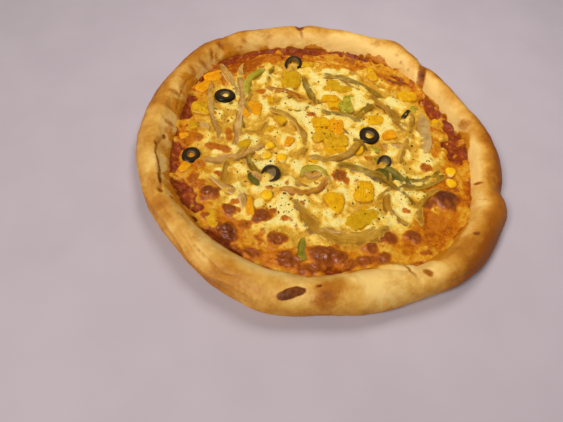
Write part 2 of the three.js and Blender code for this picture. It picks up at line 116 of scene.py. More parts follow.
def solidOf(node):
    # the corners of a node in mm, each once, and the three corners of each face
    mesh = frame["nodes"][node].data
    places = np.empty(len(mesh.vertices) * 3)
    mesh.vertices.foreach_get("co", places)
    corners = np.empty(len(mesh.loops), int)
    mesh.loops.foreach_get("vertex_index", corners)
    points, number = np.unique(np.round(places.reshape(-1, 3) * 1000, 3), axis=0, return_inverse=True)
    return points, number.reshape(-1)[corners].reshape(-1, 3)


def readRim():
    # the rim's section at every station: rows from the foot, over the crest, to the toe and the floor
    points, _ = solidOf("dough")
    radius = np.hypot(points[:, 0], points[:, 1])
    points, radius = points[radius > 10], radius[radius > 10]  # without the middles of the two sides
    bearing = np.degrees(np.arctan2(points[:, 1], points[:, 0])) % 360
    stations = np.count_nonzero(points[:, 2] < 0.01)  # each section has one foot
    station = np.round(bearing * stations / 360).astype(int) % stations
    order = np.argsort(station, kind="stable")
    section = np.stack([radius[order], points[order, 2]], -1).reshape(stations, -1, 2)
    out, up = np.moveaxis(section - section.mean(1, keepdims=True), -1, 0)
    turn = (np.degrees(np.arctan2(up, out)) + 110) % 360  # from just before the foot
    return np.take_along_axis(section, np.argsort(turn, axis=1)[..., None], axis=1)


rimSection = readRim()
bearings = np.arange(layout["bearings"]) * 360 / layout["bearings"]
stationPlaces = bearings * len(rimSection) / 360
toeRadius = curveThrough(rimSection[:, -2, 0], stationPlaces, closed=True)


def toeAt(bearing):
    # the toe's radius in mm at any bearing, straight between the columns
    return np.interp(np.asarray(bearing) % 360, bearings, toeRadius, period=360)


def placeAt(bearing, share):
    # the point at a bearing and a share of the toe's radius
    radius = toeAt(bearing) * share
    return np.stack([radius * np.cos(np.radians(bearing)), radius * np.sin(np.radians(bearing))], -1)


def turnBetween(first, second):
    # degrees from the second bearing to the first, from -180 to 180
    return (first - second + 180) % 360 - 180


# Height maps are square grids of cells, with y down the rows and x along the columns.
mapY, mapX = np.meshgrid(*[np.linspace(-layout["reach"], layout["reach"], mapSide)] * 2, indexing="ij")
mapRadius = np.hypot(mapX, mapY)
mapBearing = np.degrees(np.arctan2(mapY, mapX))
mapShare = mapRadius / toeAt(mapBearing)
toToe = toeAt(mapBearing) - mapRadius  # mm to go to the crust


def readMap(field, x, y):
    # the map's height at any place, from the four cells round it
    row, column = (np.clip((v + layout["reach"]) / layout["cell"], 0, mapSide - 1.001) for v in (y, x))
    i, j = row.astype(int), column.astype(int)
    v, u = row - i, column - j
    upper, lower = (field[k, j] * (1 - u) + field[k, j + 1] * u for k in (i, i + 1))
    return upper * (1 - v) + lower * v


def raiseMap(field, points):
    # lifts the cells under the points to their heights
    column, row = np.round((points[:, :2] + layout["reach"]) / layout["cell"]).astype(int).T
    np.maximum.at(field, (row, column), points[:, 2])


def facePoints(points, faces, steps=26):
    # points spread evenly over every face: a corner plus shares of the two sides from it
    u, v = np.meshgrid(*[np.arange(steps + 1) / steps] * 2)
    inside = u + v <= 1
    u, v = u[inside][:, None], v[inside][:, None]
    a, b, c = (points[faces[:, k]][:, None] for k in range(3))
    return (a + u * (b - a) + v * (c - a)).reshape(-1, 3)


def withPoles(grid, ring):
    # the grid as one list and, unless it closes as a ring, the middles of its first and last row
    flat = grid.reshape(-1, *grid.shape[2:])
    return flat if ring else np.concatenate([flat, grid[:1].mean(1), grid[-1:].mean(1)])


def addPiece(name, skins, finish, stands=()):
    # Each skin is a grid of points whose columns close on themselves. Its rows end in two poles,
    # or close on themselves too if "ring" is set.
    corners, faces, values, start = [], [], {}, 0
    for skin in skins:
        grid, ring = skin["points"], skin.get("ring")
        rows, columns = grid.shape[:2]
        number = start + np.arange(rows * columns).reshape(rows, columns)
        upper, lower = (number, np.roll(number, -1, axis=0)) if ring else (number[:-1], number[1:])
        quads = np.stack([upper, np.roll(upper, -1, 1), np.roll(lower, -1, 1), lower], -1).reshape(-1, 4)
        groups = [quads]
        if not ring:
            pole = np.full(columns, start + rows * columns)
            groups.append(np.stack([pole, np.roll(number[0], -1), number[0]], -1))
            groups.append(np.stack([pole + 1, number[-1], np.roll(number[-1], -1)], -1))
        points = withPoles(grid, ring)
        a, b, c = (points[quads[:, k] - start] for k in range(3))
        turnedIn = np.einsum("ij,ij->i", np.cross(b - a, c - a), a - points.mean(0)).sum() < 0
        for group in groups:
            faces += (group[:, ::-1] if turnedIn else group).tolist()
        for key, value in skin.get("values", {}).items():
            values.setdefault(key, []).append(withPoles(np.broadcast_to(value, (rows, columns)), ring))
        corners.append(points)
        start += len(points)
    mesh = bpy.data.meshes.new(name)
    mesh.from_pydata(np.concatenate(corners) / 1000, [], faces)
    mesh.shade_smooth()
    for key, parts in values.items():
        mesh.attributes.new(key, "FLOAT", "POINT").data.foreach_set("value", np.concatenate(parts))
    mesh.materials.append(finish)
    piece = placed(name, mesh)
    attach(piece, "root")
    if stands:
        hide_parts(*stands)


class Signal:
    # Wraps one socket, so that sums, differences and products of signals and numbers add Math nodes.
    def __init__(self, tree, socket=None):
        self.tree, self.socket = tree, socket

    def node(self, kind, sockets, out=0, stops=(), **settings):
        # any node: its settings first, then the values or links of its sockets
        made = self.tree.nodes.new(kind)
        for key, value in settings.items():
            setattr(made, key, value)
        for extra in range(len(stops) - 2):
            made.color_ramp.elements.new(0.5)
        for stop, (place, colour) in zip(made.color_ramp.elements if stops else (), stops):
            stop.position, stop.color = place, paint(colour)
        for key, value in sockets.items():
            if isinstance(value, Signal):
                self.tree.links.new(value.socket, made.inputs[key])
            else:
                made.inputs[key].default_value = value
        return Signal(self.tree, made.outputs[out])

    def maths(self, operation, first, second):
        # one Math node
        return self.node("ShaderNodeMath", {0: first, 1: second}, operation=operation)

    def __add__(self, other):
        return self.maths("ADD", self, other)

    __radd__ = __add__

    def __sub__(self, other):
        return self.maths("SUBTRACT", self, other)

    def __rsub__(self, other):
        return self.maths("SUBTRACT", other, self)

    def __mul__(self, other):
        return self.maths("MULTIPLY", self, other)

    __rmul__ = __mul__

    def between(self, low, high):
        # 0 below low and 1 above high, with a smooth step between them
        sockets = {0: self, 1: low, 2: high}
        return self.node("ShaderNodeMapRange", sockets, interpolation_type="SMOOTHSTEP")

    def off(self, amount):
        # how far it is above a half, times an amount
        return (self - 0.5) * amount

    def mix(self, first, second):
        # the first colour where this signal is 0 and the second where it is 1
        sockets = {0: self, 6: paint(first), 7: paint(second)}
        return self.node("ShaderNodeMix", sockets, out=2, data_type="RGBA")

    def ramp(self, *stops):
        # the colours of stops at places from 0 to 1
        return self.node("ShaderNodeValToRGB", {0: self}, stops=stops)


def paint(colour):
    # a display colour, 0 to 255, as the linear colour that a shader takes
    if isinstance(colour, Signal):
        return colour
    return (*(((c / 255 + 0.055) / 1.055) ** 2.4 if c > 10 else c / 3294.6 for c in colour), 1)


def layered(colour, *layers):
    # every layer's colour over the ones before it, where its mask is 1
    for mask, over in layers:
        colour = mask.mix(colour, over)
    return colour


def newFinish(name, shine=0.5, glow=(0, 1, 1, 1), coatRough=0.03):
    # a material with one shader: glow is how much light goes into it, and mm in red, green and blue
    finish = bpy.data.materials.new(name)
    finish.use_nodes = True
    fixed = {"Specular IOR Level": shine, "Coat Roughness": coatRough, "Subsurface Weight": glow[0],
             "Subsurface Radius": [mm / 1000 for mm in glow[1:]], "Subsurface Scale": 1}
    for key, value in fixed.items():
        finish.node_tree.nodes["Principled BSDF"].inputs[key].default_value = value
    return finish, Signal(finish.node_tree)


def dress(finish, colour, rough, height=None, depth=1, strength=1, coat=None):
    # gives a finish's shader its colour, roughness and coat, and relief from a height of a depth in mm
    tree = finish.node_tree
    sockets = {"Strength": strength, "Distance": depth / 1000, "Height": height}
    bump = height and Signal(tree).node("ShaderNodeBump", sockets)
    feeds = {"Base Color": colour, "Roughness": rough, "Normal": bump, "Coat Weight": coat}
    for key, signal in feeds.items():
        socket = tree.nodes["Principled BSDF"].inputs[key]
        if isinstance(signal, Signal):
            tree.links.new(signal.socket, socket)
        elif signal is not None:
            socket.default_value = signal
    return finish


def attributes(palette, *names):
    # the mesh's own values by their names
    return [palette.node("ShaderNodeAttribute", {}, out=2, attribute_name=name) for name in names]


def objectPlace(palette):
    # Object coordinates, which follow the piece
    return palette.node("ShaderNodeTexCoord", {}, out=3)


def grain(palette, size, detail=3, shift=0, stretch=(1, 1, 1), place=None):
    # noise with features of a size in mm, from 0 to 1
    sockets = {0: place or objectPlace(palette), 1: (shift, shift, shift), 3: stretch}
    moved = palette.node("ShaderNodeMapping", sockets)
    sockets = {"Vector": moved, "Scale": 1000 / size, "Detail": detail, "Roughness": 0.6}
    return palette.node("ShaderNodeTexNoise", sockets)


def bubbles(palette, size):
    # rounded cells of a size in mm: 0 at their middles
    sockets = {"Vector": objectPlace(palette), "Scale": 1000 / size}
    return palette.node("ShaderNodeTexVoronoi", sockets, feature="SMOOTH_F1")


dough = {
    "rowsPerStep": 9,  # grid rows between two rows of the frame's section
    # how golden the crust is at each bearing: 0 is pale cream, 1 is deep gold; the deeper gold on the left is
    # partly painted shade, as less light falls there
    "golden": [
        (-180, 0.6), (-160, 0.55), (-135, 0.42), (-115, 0.36), (-95, 0.26), (-72, 0.22), (-55, 0.3),
        (-30, 0.72), (-12, 0.56), (0, 0.56), (20, 0.42), (40, 0.28), (75, 0.22), (92, 0.26), (112, 0.24),
        (130, 0.45), (150, 0.34), (168, 0.46),
    ],
    # where across the rim the oil from the filling begins to stain it, at each bearing
    "oilFrom": [
        (-180, 0.66), (-160, 0.68), (-150, 0.64), (-140, 0.78), (-130, 0.82), (-120, 0.9), (-110, 0.96),
        (-99, 0.94), (-90, 0.82), (-80, 0.9), (-70, 0.97), (-64, 0.95), (-59, 0.78), (-54, 0.74), (-49, 0.82),
        (-44, 0.92), (-20, 0.96), (-6, 0.94), (3, 0.88), (10, 0.84), (20, 0.97), (50, 0.93), (80, 0.97),
        (105, 0.94), (125, 0.86), (140, 0.78), (150, 0.78), (160, 0.72), (170, 0.64),
    ],
    # how much more golden its outer side is towards the foot, at each bearing: partly baking and partly
    # painted shade, most on the right where the outer side is in shadow
    "lowerGold": [
        (-180, 0.2), (-150, -0.05), (-115, -0.05), (-75, 0.14), (-50, 0.4), (-20, 0.7), (30, 0.9), (60, 0.45),
        (90, 0.3), (116, 0.1), (140, 0.55), (165, 0.4),
    ],
    # paler and browner areas, partly baking and partly painted light and shade, such as the paler band in the
    # shade of the inner wall near -122: bearing, place across, length and width in mm, how much more golden
    "areas": [
        (-71, 0.62, 40, 24, -0.45), (-84, 0.5, 26, 12, -0.2), (-60, 0.45, 20, 12, 0.2),
        (-66, 0.86, 30, 14, -0.2), (-100, 0.58, 24, 14, -0.15), (-111, 0.62, 26, 22, -0.15),
        (-104, 0.3, 40, 14, 0.15), (-122, 0.92, 50, 12, -0.25), (-140, 0.72, 20, 10, -0.15),
        (-140, 0.35, 30, 12, 0.15), (-118, 0.52, 30, 14, -0.25), (-140, 0.62, 18, 9, 0.2),
        (-169, 0.58, 30, 18, -0.3), (-160, 0.5, 18, 10, 0.1), (160, 0.58, 24, 12, 0.15),
        (151, 0.66, 24, 16, -0.25), (136, 0.38, 40, 16, 0.35), (119, 0.25, 30, 12, -0.2),
        (110, 0.35, 40, 20, -0.15), (64, 0.86, 50, 12, -0.35), (60, 0.88, 24, 10, -0.4),
        (25, 0.97, 50, 8, -0.4), (25, 0.86, 60, 14, -0.35), (0, 0.72, 20, 12, 0.2),
        (-12, 0.84, 60, 14, -0.38), (-36, 0.58, 44, 14, 0.25), (-38, 0.88, 26, 10, -0.35),
        (-8, 0.58, 36, 12, 0.12),
    ],
    # mm, spread of the slow rise and fall of its skin, of its lumps and of its pores
    "relief": (0.45, 0.16, 0.05),
    # size in mm and seed of the clouds for these three, for ragged edges and for patches of colour
    "clouds": ((9, 1), (3.2, 2), (1.3, 3), (1.6, 4), (8, 5)),
    "lineSteps": 40,  # samples along each crease or ridge
}

# Baked marks: bearing and place across the rim (0 at the foot, 1 at the toe), length and width in mm,
# the turn of the length from level, how brown it is, how far it rises and how soft its edge is.
crustMarks = [
    (-97.3, 0.58, 15.5, 7, 22, 0.95, 0.9, 0.16), (-88.2, 0.55, 15, 17, 0, 0.62, 0.5, 0.85),
    (-89.7, 0.67, 3.6, 2.4, 0, 0.95, -0.3, 0.3), (-155, 0.75, 13, 3.8, -10, 0.85, -0.4, 0.5),
    (-149.5, 0.67, 6, 4, 20, 0.75, -0.4, 0.5), (-174.5, 0.84, 4, 3, 0, 0.65, -0.2, 0.5),
    (-170, 0.74, 5, 3, 40, 0.6, -0.2, 0.6), (-146, 0.8, 5, 3, 0, 0.5, -0.2, 0.5),
    (-65.5, 0.93, 27, 15, 0, 0, 3.4, 0.5), (-153.5, 0.62, 10, 10, 0, 0.34, 0.2, 0.9),
    (-28, 0.52, 36, 20, 0, 0.34, 0.4, 0.9), (-39.5, 0.7, 4.5, 5.5, 20, 0.75, -0.3, 0.4),
    (-37, 0.97, 3, 4.5, 0, 0.6, -0.2, 0.4), (-59.5, 0.68, 5, 7, 0, 0.6, -0.2, 0.5),
    (-50, 0.95, 8, 3, 10, 0.6, 0.1, 0.5), (-49.5, 0.77, 6, 5, 0, 0.35, 0.1, 0.5),
    (-54, 0.5, 17, 6, 5, 0.28, 0, 0.9), (-70, 0.62, 14, 5, 0, 0.18, 0, 0.8),
    (131.5, 0.74, 5, 13, 20, 0.62, -0.5, 0.8), (137, 0.8, 5, 12, -25, 0.5, -0.3, 0.8),
    (143, 0.84, 5, 12, 20, 0.5, 0, 0.9), (149, 0.8, 5, 14, -10, 0.42, -0.2, 0.9),
    (155, 0.78, 4, 15, 12, 0.45, -0.3, 0.9), (122, 0.8, 5, 8, 30, 0.4, 0, 0.9),
    (128, 0.52, 26, 7, 0, 0.5, 0, 0.7), (150, 0.6, 22, 7, 0, 0.15, 0, 0.8),
    (97.8, 0.58, 8, 9, 0, 0.8, -0.3, 0.7), (97.3, 0.74, 3, 8, 10, 0.45, -0.3, 0.8),
    (90, 0.68, 9, 6, 0, 0.3, 0, 0.9), (113, 0.7, 18, 12, 0, 0.28, 0.2, 0.7),
    (64.7, 0.72, 8, 8, 0, 0.32, 0.2, 0.6), (60, 0.6, 9, 6, 0, 0.3, 0.3, 0.6),
    (54.5, 0.77, 5, 4, 0, 0.32, 0.1, 0.9), (50.8, 0.82, 5, 3.5, 0, 0.32, 0.1, 0.9),
    (46.5, 0.84, 3.5, 3, 0, 0.3, 0.1, 0.9), (9.5, 0.82, 11, 9, 30, 0.42, 0.2, 0.7),
    (-18, 0.86, 2.6, 8, -8, 0.7, -0.3, 0.6), (12, 0.56, 24, 8, 0, 0.25, 0, 0.8),
    (-4, 0.62, 20, 7, 0, 0.25, 0, 0.8), (-169, 0.55, 10, 12, 0, 0.15, 0.3, 0.8),
    (-110, 0.62, 16, 6, -5, 0.18, 0, 0.8), (-128, 0.68, 9, 7, 0, 0.25, 0, 0.8),
    (-138, 0.72, 8, 6, 0, 0.3, 0, 0.7), (163, 0.78, 5, 16, 12, 0.45, -0.4, 0.9),
    (171, 0.82, 4, 14, -8, 0.45, -0.5, 0.9), (178, 0.86, 5, 9, 5, 0.5, -0.3, 0.9),
]

# Creases and ridges: width and rise in mm, how brown, how sharp its sides are (2 is a soft bell), and
# the bearings and places across the rim that it runs through. The brown of the two creases beside the
# lower-left ridge is painted shade.
crustLines = [
    (7.2, -0.6, 0.87, 5, [(47.5, -0.2), (46, 0.1), (44.6, 0.36), (43, 0.55), (41.3, 0.7), (39.8, 0.8),
        (38.6, 0.9), (37.5, 1), (36.5, 1.1), (35.5, 1.25)]),
    (1.8, 0.7, 0, 2, [(49, 0.3), (47.2, 0.5), (45.6, 0.66), (43.4, 0.8), (41, 0.97)]),
    (2, -0.9, 0.78, 2, [(-176, 0.86), (-170, 0.77), (-166.5, 0.75), (-163, 0.8), (-158, 0.8), (-153, 0.74),
        (-148.5, 0.66)]),
    (3, 0.9, 0, 2, [(176, 0.76), (-172, 0.7), (-163, 0.73), (-154, 0.71)]),
    (2.6, 2.1, 0, 2, [(-156, 0.4), (-147, 0.45), (-140.5, 0.52), (-134.5, 0.5), (-129, 0.46), (-123.5, 0.41),
        (-117.5, 0.43), (-112, 0.47), (-104, 0.45)]),
    # the shade just above the lower-left ridge, painted brown
    (1.8, -0.8, 0.2, 2, [(-147, 0.58), (-140, 0.61), (-134, 0.57), (-129, 0.53), (-124, 0.48)]),
    (1.3, -1.2, 0.42, 2, [(-130, 0.64), (-127.5, 0.59), (-123, 0.56), (-119, 0.54), (-116, 0.51),
        (-113, 0.55), (-109.5, 0.61)]),
    # the crease under the lower-left ridge, its brown painted shade
    (2.6, -1.7, 0.3, 2, [(-156, 0.32), (-147, 0.36), (-140, 0.43), (-134, 0.41), (-128, 0.37), (-122, 0.32),
        (-116, 0.34), (-106, 0.36)]),
    (1.4, 0.8, 0, 2, [(-58, 0.4), (-47, 0.35), (-36, 0.36), (-27, 0.39)]),
    (1.2, -0.6, 0.2, 2, [(-57, 0.46), (-46, 0.41), (-36, 0.42), (-28, 0.44)]),
    (1.7, -1.4, 0.6, 2, [(-61.5, 1.05), (-62.6, 0.9), (-63, 0.75), (-63, 0.58)]),
    (1, -0.5, 0.4, 2, [(-24.5, 0.9), (-25.5, 0.72), (-26, 0.64)]),
    (1.6, -0.7, 0.5, 2, [(97.5, 0.45), (98, 0.6), (97.6, 0.78)]),
    (1.5, -0.9, 0.55, 2, [(128, 0.5), (130.5, 0.65), (132.5, 0.8)]),
    (1.8, -0.6, 0.3, 2, [(148, 0.92), (155, 0.84), (162, 0.86), (170, 0.9)]),
    (1.8, -0.8, 0.15, 2, [(-19, 0.3), (-17, 0.45), (-16.5, 0.6)]),
]


def doughSkin():
    # The rim is the frame's section drawn as a smooth curve, with relief pushed out along its normal.
    rimRows = rimSection.shape[1] - 1
    steps = (rimRows - 1) * dough["rowsPerStep"] + 1
    stations = curveThrough(np.moveaxis(rimSection[:, :rimRows], 1, 0), np.linspace(0, rimRows - 1, steps))
    section = np.moveaxis(curveThrough(np.moveaxis(stations, 1, 0), stationPlaces, closed=True), 1, 0)
    length = np.hypot(*np.moveaxis(np.diff(section, axis=0), -1, 0))
    along = np.concatenate([np.zeros((1, len(bearings))), np.cumsum(length, 0)])
    share = along / along[-1]
    slope = np.gradient(section, axis=0)
    normal = np.stack([slope[..., 1], -slope[..., 0]], -1)
    normal /= np.linalg.norm(normal, axis=-1, keepdims=True)

    def awayFrom(bearing, place):
        # mm along the rim and across it
        turn = np.radians(turnBetween(bearings, bearing))
        return turn * section[..., 0], (share - place) * along[-1]

    shape = section.shape[:2]
    spacing = (along[-1].mean() / steps, math.tau * layout["rimRadius"] / len(bearings))
    clouds = [cloud(size, seed, shape, spacing=spacing) for size, seed in dough["clouds"]]
    swell, lumps, _, ragged, patches = clouds
    relief = sum(field * rise for field, rise in zip(clouds, dough["relief"]))
    browned = np.zeros(shape)
    for bearing, place, length, width, turn, brown, rise, edge in crustMarks:
        far = farOut(*awayFrom(bearing, place), length, width, turn)
        inside = 1 - smooth(far + ragged * 0.1, 1 - edge, 1 + edge)
        browned = np.maximum(browned, inside * brown)
        relief += rise * np.sqrt(np.clip(1 - far ** 2, 0, 1))
    fade = np.sin(np.linspace(0.15, math.pi - 0.15, dough["lineSteps"])) ** 0.5
    for width, rise, brown, sharp, through in crustLines:
        course = curveThrough(through, np.linspace(0, len(through) - 1, dough["lineSteps"]))
        u = np.radians(turnBetween(bearings[:, None], course[:, 0])) * layout["rimRadius"]
        v = (share[..., None] - course[:, 1]) * along[-1][None, :, None]
        distance = np.hypot(u[None], v)
        inside = np.exp(-0.5 * (distance.min(-1) / width * 2) ** sharp) * fade[distance.argmin(-1)]
        relief += rise * inside
        # a crease's brown, which beside the lower-left ridge is painted shade
        browned = np.maximum(browned, inside * brown * (0.8 + 0.12 * ragged))
    relief *= smooth(share, 0.02, 0.2)
    section = section + normal * relief[..., None]

    foot = section[0]
    floorEdge = curveThrough(rimSection[:, -1], stationPlaces, closed=True)
    under = [foot * (k, 0) for k in (0.3, 0.7, 0.95)]
    floor = [floorEdge * (k, 1) for k in (1, 0.6, 0.25)]
    rows = np.concatenate([under, section, floor])
    radians = np.radians(bearings)
    points = np.stack([rows[..., 0] * np.cos(radians), rows[..., 0] * np.sin(radians), rows[..., 1]], -1)

    golden, oilFrom, lowerGold = (np.interp(bearings, *np.array(dough[key]).T, period=360)
                                  for key in ("golden", "oilFrom", "lowerGold"))
    golden = golden + 0.16 * patches + 0.07 * swell + 0.04 * lumps + 0.13 - 0.27 * smooth(share, 0.6, 0.85)
    # the outer side deepened towards the foot, partly as painted shade
    golden = golden + lowerGold * (1 - smooth(share, 0.3, 0.68))
    for bearing, place, length, width, gold in dough["areas"]:
        golden = golden + gold * np.exp(-farOut(*awayFrom(bearing, place), length, width, 0) ** 2)
    oily = (share + 0.035 * swell + 0.02 * lumps + 0.012 * ragged - oilFrom) / (1 - oilFrom)
    stained = 0.75 * smooth(oily + 0.25 * patches + 0.28 * lumps + 0.1 * ragged, 0, 0.9)
    stained += 0.5 * smooth(share + 0.006 * ragged + 0.006 * lumps, 0.97, 1)

    def padded(value, below, above):
        # the same all over the underside and the floor
        return np.pad(value, ((len(under), len(floor)), (0, 0)), constant_values=((below, above), (0, 0)))

    values = {"browned": padded(browned, 0.35, 0), "golden": padded(golden, 0.8, 0.3),
              "stained": padded(stained, 0, 1), "underside": padded(1 - smooth(share, 0.04, 0.34), 1, 0)}
    return {"points": points, "values": values}


def crustFinish():
    # gold by a ramp, under browning, oil, spots, and a flour tone at the foot that is darkened as painted
    # shade, each where its value and some noise are high
    finish, palette = newFinish("bakedDough", 0.25, (0.1, 3, 1.5, 0.7))
    golden, browned, stained, underside = attributes(palette, "golden", "browned", "stained", "underside")
    mottle, fleck, fine = grain(palette, 9, 4), grain(palette, 2.2, 3, 0.3), grain(palette, 0.7, 2, 0.7)
    cells = bubbles(palette, 2.2)
    depth = golden + mottle.off(0.8) + fleck.off(0.25)
    brown = browned + fleck.off(0.45) * browned.between(0.02, 0.3)
    brown = brown - (cells - 0.5) * 0.5 * browned.between(0.5, 0.9)
    stain = stained + fleck.off(0.9) * stained.between(0.02, 0.3) + mottle.off(0.3)
    oily = stain.between(0.15, 0.7)
    spots = grain(palette, 1.7, 2, 0.5).between(0.58, 0.7) * oily
    # flour dusting towards the foot, its colour darkened to paint the shade under the curving crust
    flourAndFootShade = underside * (fleck + 0.2)
    colour = layered(
        depth.ramp((0, (250, 208, 122)), (0.3, (228, 172, 78)), (0.6, (198, 130, 38)), (1, (154, 82, 14))),
        (brown.between(0.05, 0.55), (182, 108, 26)), (brown.between(0.45, 0.8), (138, 74, 26)),
        (brown.between(0.8, 1.1), (104, 54, 24)), (oily, (208, 132, 26)), (spots * 0.6, (150, 78, 14)),
        (stain.between(0.7, 1.15), (158, 80, 14)), (flourAndFootShade.between(0.3, 0.9), (174, 134, 74)))
    rough = 0.5 - oily * 0.15 - browned * 0.1 + fine.off(0.15)
    blistered = cells * browned.between(0.5, 0.9) * 0.6
    return dress(finish, colour, rough, mottle * 0.5 + fleck * 0.4 + fine * 0.2 - blistered, 1, 0.65)


addPiece("doughCrust", [doughSkin()], crustFinish(), ["dough"])
print("dough made")


cheese = {
    "least": 1.6,  # mm that it stands over the sauce at least, away from its edge
    "underside": 1.2,  # mm that its underside lies below the sauce's top
    "tuck": 0.4,  # mm that its edge ends below the sauce's top
    "rounding": 8,  # mm from its edge to where the cheese has its full height
    "stopsShort": -4,  # mm that it stops short of the crust, apart from the sauce patches
    "climb": 2.1,  # mm that it stands up against the crust
    "bareDepth": 26,  # mm that its edge draws back at the middle of a sauce patch
    "ragged": 1.8,  # mm, spread of the wander of its edge
    "swell": 0.28,
    "curds": 0.75,  # mm, how far the pale unbroken curds stand over the thinner cheese between them
    "lumps": 0.16,
    "grains": 0.22,
    "crumbs": 0.26,  # mm, how rough it is in the places where it stayed crumbly
    "domes": 1.25,  # how high the blisters stand, as a part of the heights in their rows
    "rings": (50, 88),  # rings over its middle and over the rest
    # size in mm and seed of its clouds, from the widest to the tiniest
    "clouds": ((6, 11), (3.2, 15), (2.2, 12), (1.1, 13), (0.6, 14)),
}


def readCheese():
    # the frame's cheese top with its pockets filled from round them
    points, faces = solidOf("cheese")
    top = np.zeros((mapSide, mapSide))
    raiseMap(top, facePoints(points, faces))
    solid = (top > points[:, 2].max() * 0.78).astype(float)  # lower places are pockets
    filled = soften(top * solid, 2.5) / (soften(solid, 2.5) + 1e-4)
    return np.maximum(filled, sauceTop + cheese["least"])


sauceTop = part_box("sauce")[1].z * 1000
frameTop = readCheese()

# Where sauce shows: bearing, share, length along the rim and width across it in mm, and how bare.
saucePatches = [
    (95, 0.955, 64, 22, 1), (88, 0.89, 22, 13, 0.75), (112, 0.99, 30, 12, 1), (130, 0.95, 104, 28, 0.38),
    (145, 0.975, 36, 13, 1), (163, 0.98, 38, 19, 1), (-166, 0.965, 52, 15, 0.4), (-148, 0.94, 50, 20, 1),
    (-124, 0.99, 30, 9, 0.35), (-80, 0.99, 18, 5, 1), (1, 0.905, 26, 25, 1), (9, 0.95, 28, 15, 1),
    (26, 0.95, 26, 9, 1), (50, 0.92, 24, 20, 0.4), (72, 0.975, 54, 14, 1), (68, 0.88, 34, 12, 0.42),
]

# Where oil has turned the cheese orange: the same, and how orange.
oilPatches = [
    (-45, 0.87, 56, 30, 1.15), (-24, 0.86, 44, 28, 1.1), (-4, 0.9, 30, 18, 0.95), (30, 0.93, 40, 14, 0.7),
    (52, 0.88, 40, 22, 1), (74, 0.88, 46, 20, 1.1), (95, 0.85, 34, 14, 1), (114, 0.89, 56, 22, 1.45),
    (132, 0.85, 54, 36, 1.4), (144, 0.94, 34, 18, 1.5), (-178, 0.93, 32, 17, 1.1), (-160, 0.84, 34, 20, 1),
    (-143, 0.87, 30, 14, 0.85), (-126, 0.88, 36, 18, 0.95), (-105, 0.91, 44, 18, 0.85),
    (-80, 0.95, 44, 16, 1), (134, 0.5, 12, 9, 0.6), (-150, 0.62, 20, 10, 0.4), (-20, 0.05, 34, 24, 0.35),
    (60, 0.3, 34, 20, 0.35), (0, 0.79, 28, 15, 0.9), (84, 0.8, 40, 12, 0.7),
]

# Browned domes: bearing and share, length and width in mm, turn, height in mm, how brown, how bumpy.
blisters = [
    (-29, 0.85, 20, 16, 20, 3, 1, 0.15), (-34, 0.8, 12, 8, 30, 1.2, 0.8, 0.3),
    (-87.5, 0.88, 23, 15, -8, 2.6, 0.8, 0.5), (-81, 0.93, 14, 8, -30, 1.1, 0.62, 0.6),
    (-102, 0.92, 20, 17, 30, 2.2, 0.8, 0.9), (-143, 0.82, 15, 13, -20, 2.6, 0.9, 0.1),
    (-131, 0.8, 13, 10, -30, 1.8, 0.78, 0.3), (-117, 0.72, 11, 12, 0, 2.3, 0.8, 0.2),
    (-115, 0.66, 9, 4, 20, 0.6, 0.55, 0.2), (-106, 0.82, 15, 11, 20, 1.7, 0.75, 0.5),
    (-124, 0.93, 21, 14, -40, 1.8, 0.92, 0.9), (-113, 0.95, 15, 10, -20, 1.2, 0.72, 0.8),
    (-92, 0.97, 18, 8, 0, 1, 0.7, 0.8), (-150, 0.94, 16, 9, -50, 1, 0.9, 0.5),
    (-52, 0.85, 14, 10, -10, 1.9, 0.8, 0.2), (-61, 0.81, 15, 9, 28, 1.6, 0.76, 0.4),
    (-69, 0.86, 11, 9, 10, 1.3, 0.72, 0.4), (-73, 0.95, 24, 7, 12, 0.8, 0.66, 0.8),
    (-66, 0.93, 10, 9, 0, 0.9, 0.66, 0.6), (-177, 0.84, 10, 11, 30, 1.8, 0.52, 0.1),
    (-169, 0.68, 30, 7, -12, 0.8, 0.5, 0.5), (-64, 0.33, 13, 10, -30, 0.7, 0.66, 0.6),
    (101, 0.23, 10, 6, 10, 0.6, 0.55, 0.2), (-16, 0.72, 10, 8, -20, 0.5, 0.52, 0.4),
    (-23, 0.34, 6, 5, 0, 0.5, 0.45, 0.2), (-45, 0.72, 6, 5, 0, 0.5, 0.5, 0.2),
    (179, 0.63, 7, 12, 15, 0.7, 0.5, 0.3), (133, 0.56, 9, 6, 0, 0.4, 0.45, 0.3),
    (-125, 0.53, 8, 5, 0, 0.3, 0.4, 0.2), (-121, 0.83, 9, 8, 0, 0.8, 0.55, 0.3),
    (-100, 0.7, 4, 12, -8, 0.2, 0.32, 0.2), (-171, 0.21, 7, 5, 0, 0.2, 0.3, 0.2),
    (-152, 0.72, 7, 6, 0, 0.6, 0.5, 0.2), (-160, 0.8, 10, 7, 0, 0.7, 0.5, 0.3),
    (-150, 0.86, 12, 9, 20, 0.6, 0.5, 0.6), (88, 0.86, 10, 5, -20, 0.3, 0.38, 0.3),
    (72, 0.8, 10, 6, -20, 0.4, 0.45, 0.5), (55, 0.86, 24, 8, -30, 0.5, 0.5, 0.7),
    (-118, 0.985, 24, 8, -28, 0.9, 0.72, 0.8), (-129, 0.975, 12, 7, -40, 0.7, 0.62, 0.6),
    (44.8, 0.915, 25, 6.5, -5, 1, 0.84, 0.3), (113, 0.87, 22, 7, 14, 0.5, 0.42, 0.5),
    (-40, 0.88, 22, 12, 40, 0.4, 0.45, 0.9),
]


def farFrom(bearing, share, length, width, turn):
    # farOut of every cell from a place on the pizza
    x, y = placeAt(bearing, share)
    return farOut(mapX - x, mapY - y, length, width, turn)


def patched(patches, ragged, low, high):
    # the most that any patch gives each cell: all of its amount inside low, and nothing past high
    field = np.zeros_like(mapX)
    for bearing, share, length, width, amount in patches:
        far = farFrom(bearing, share, length, width, bearing + 90) + ragged
        field = np.maximum(field, amount * (1 - smooth(far, low, high)))
    return field


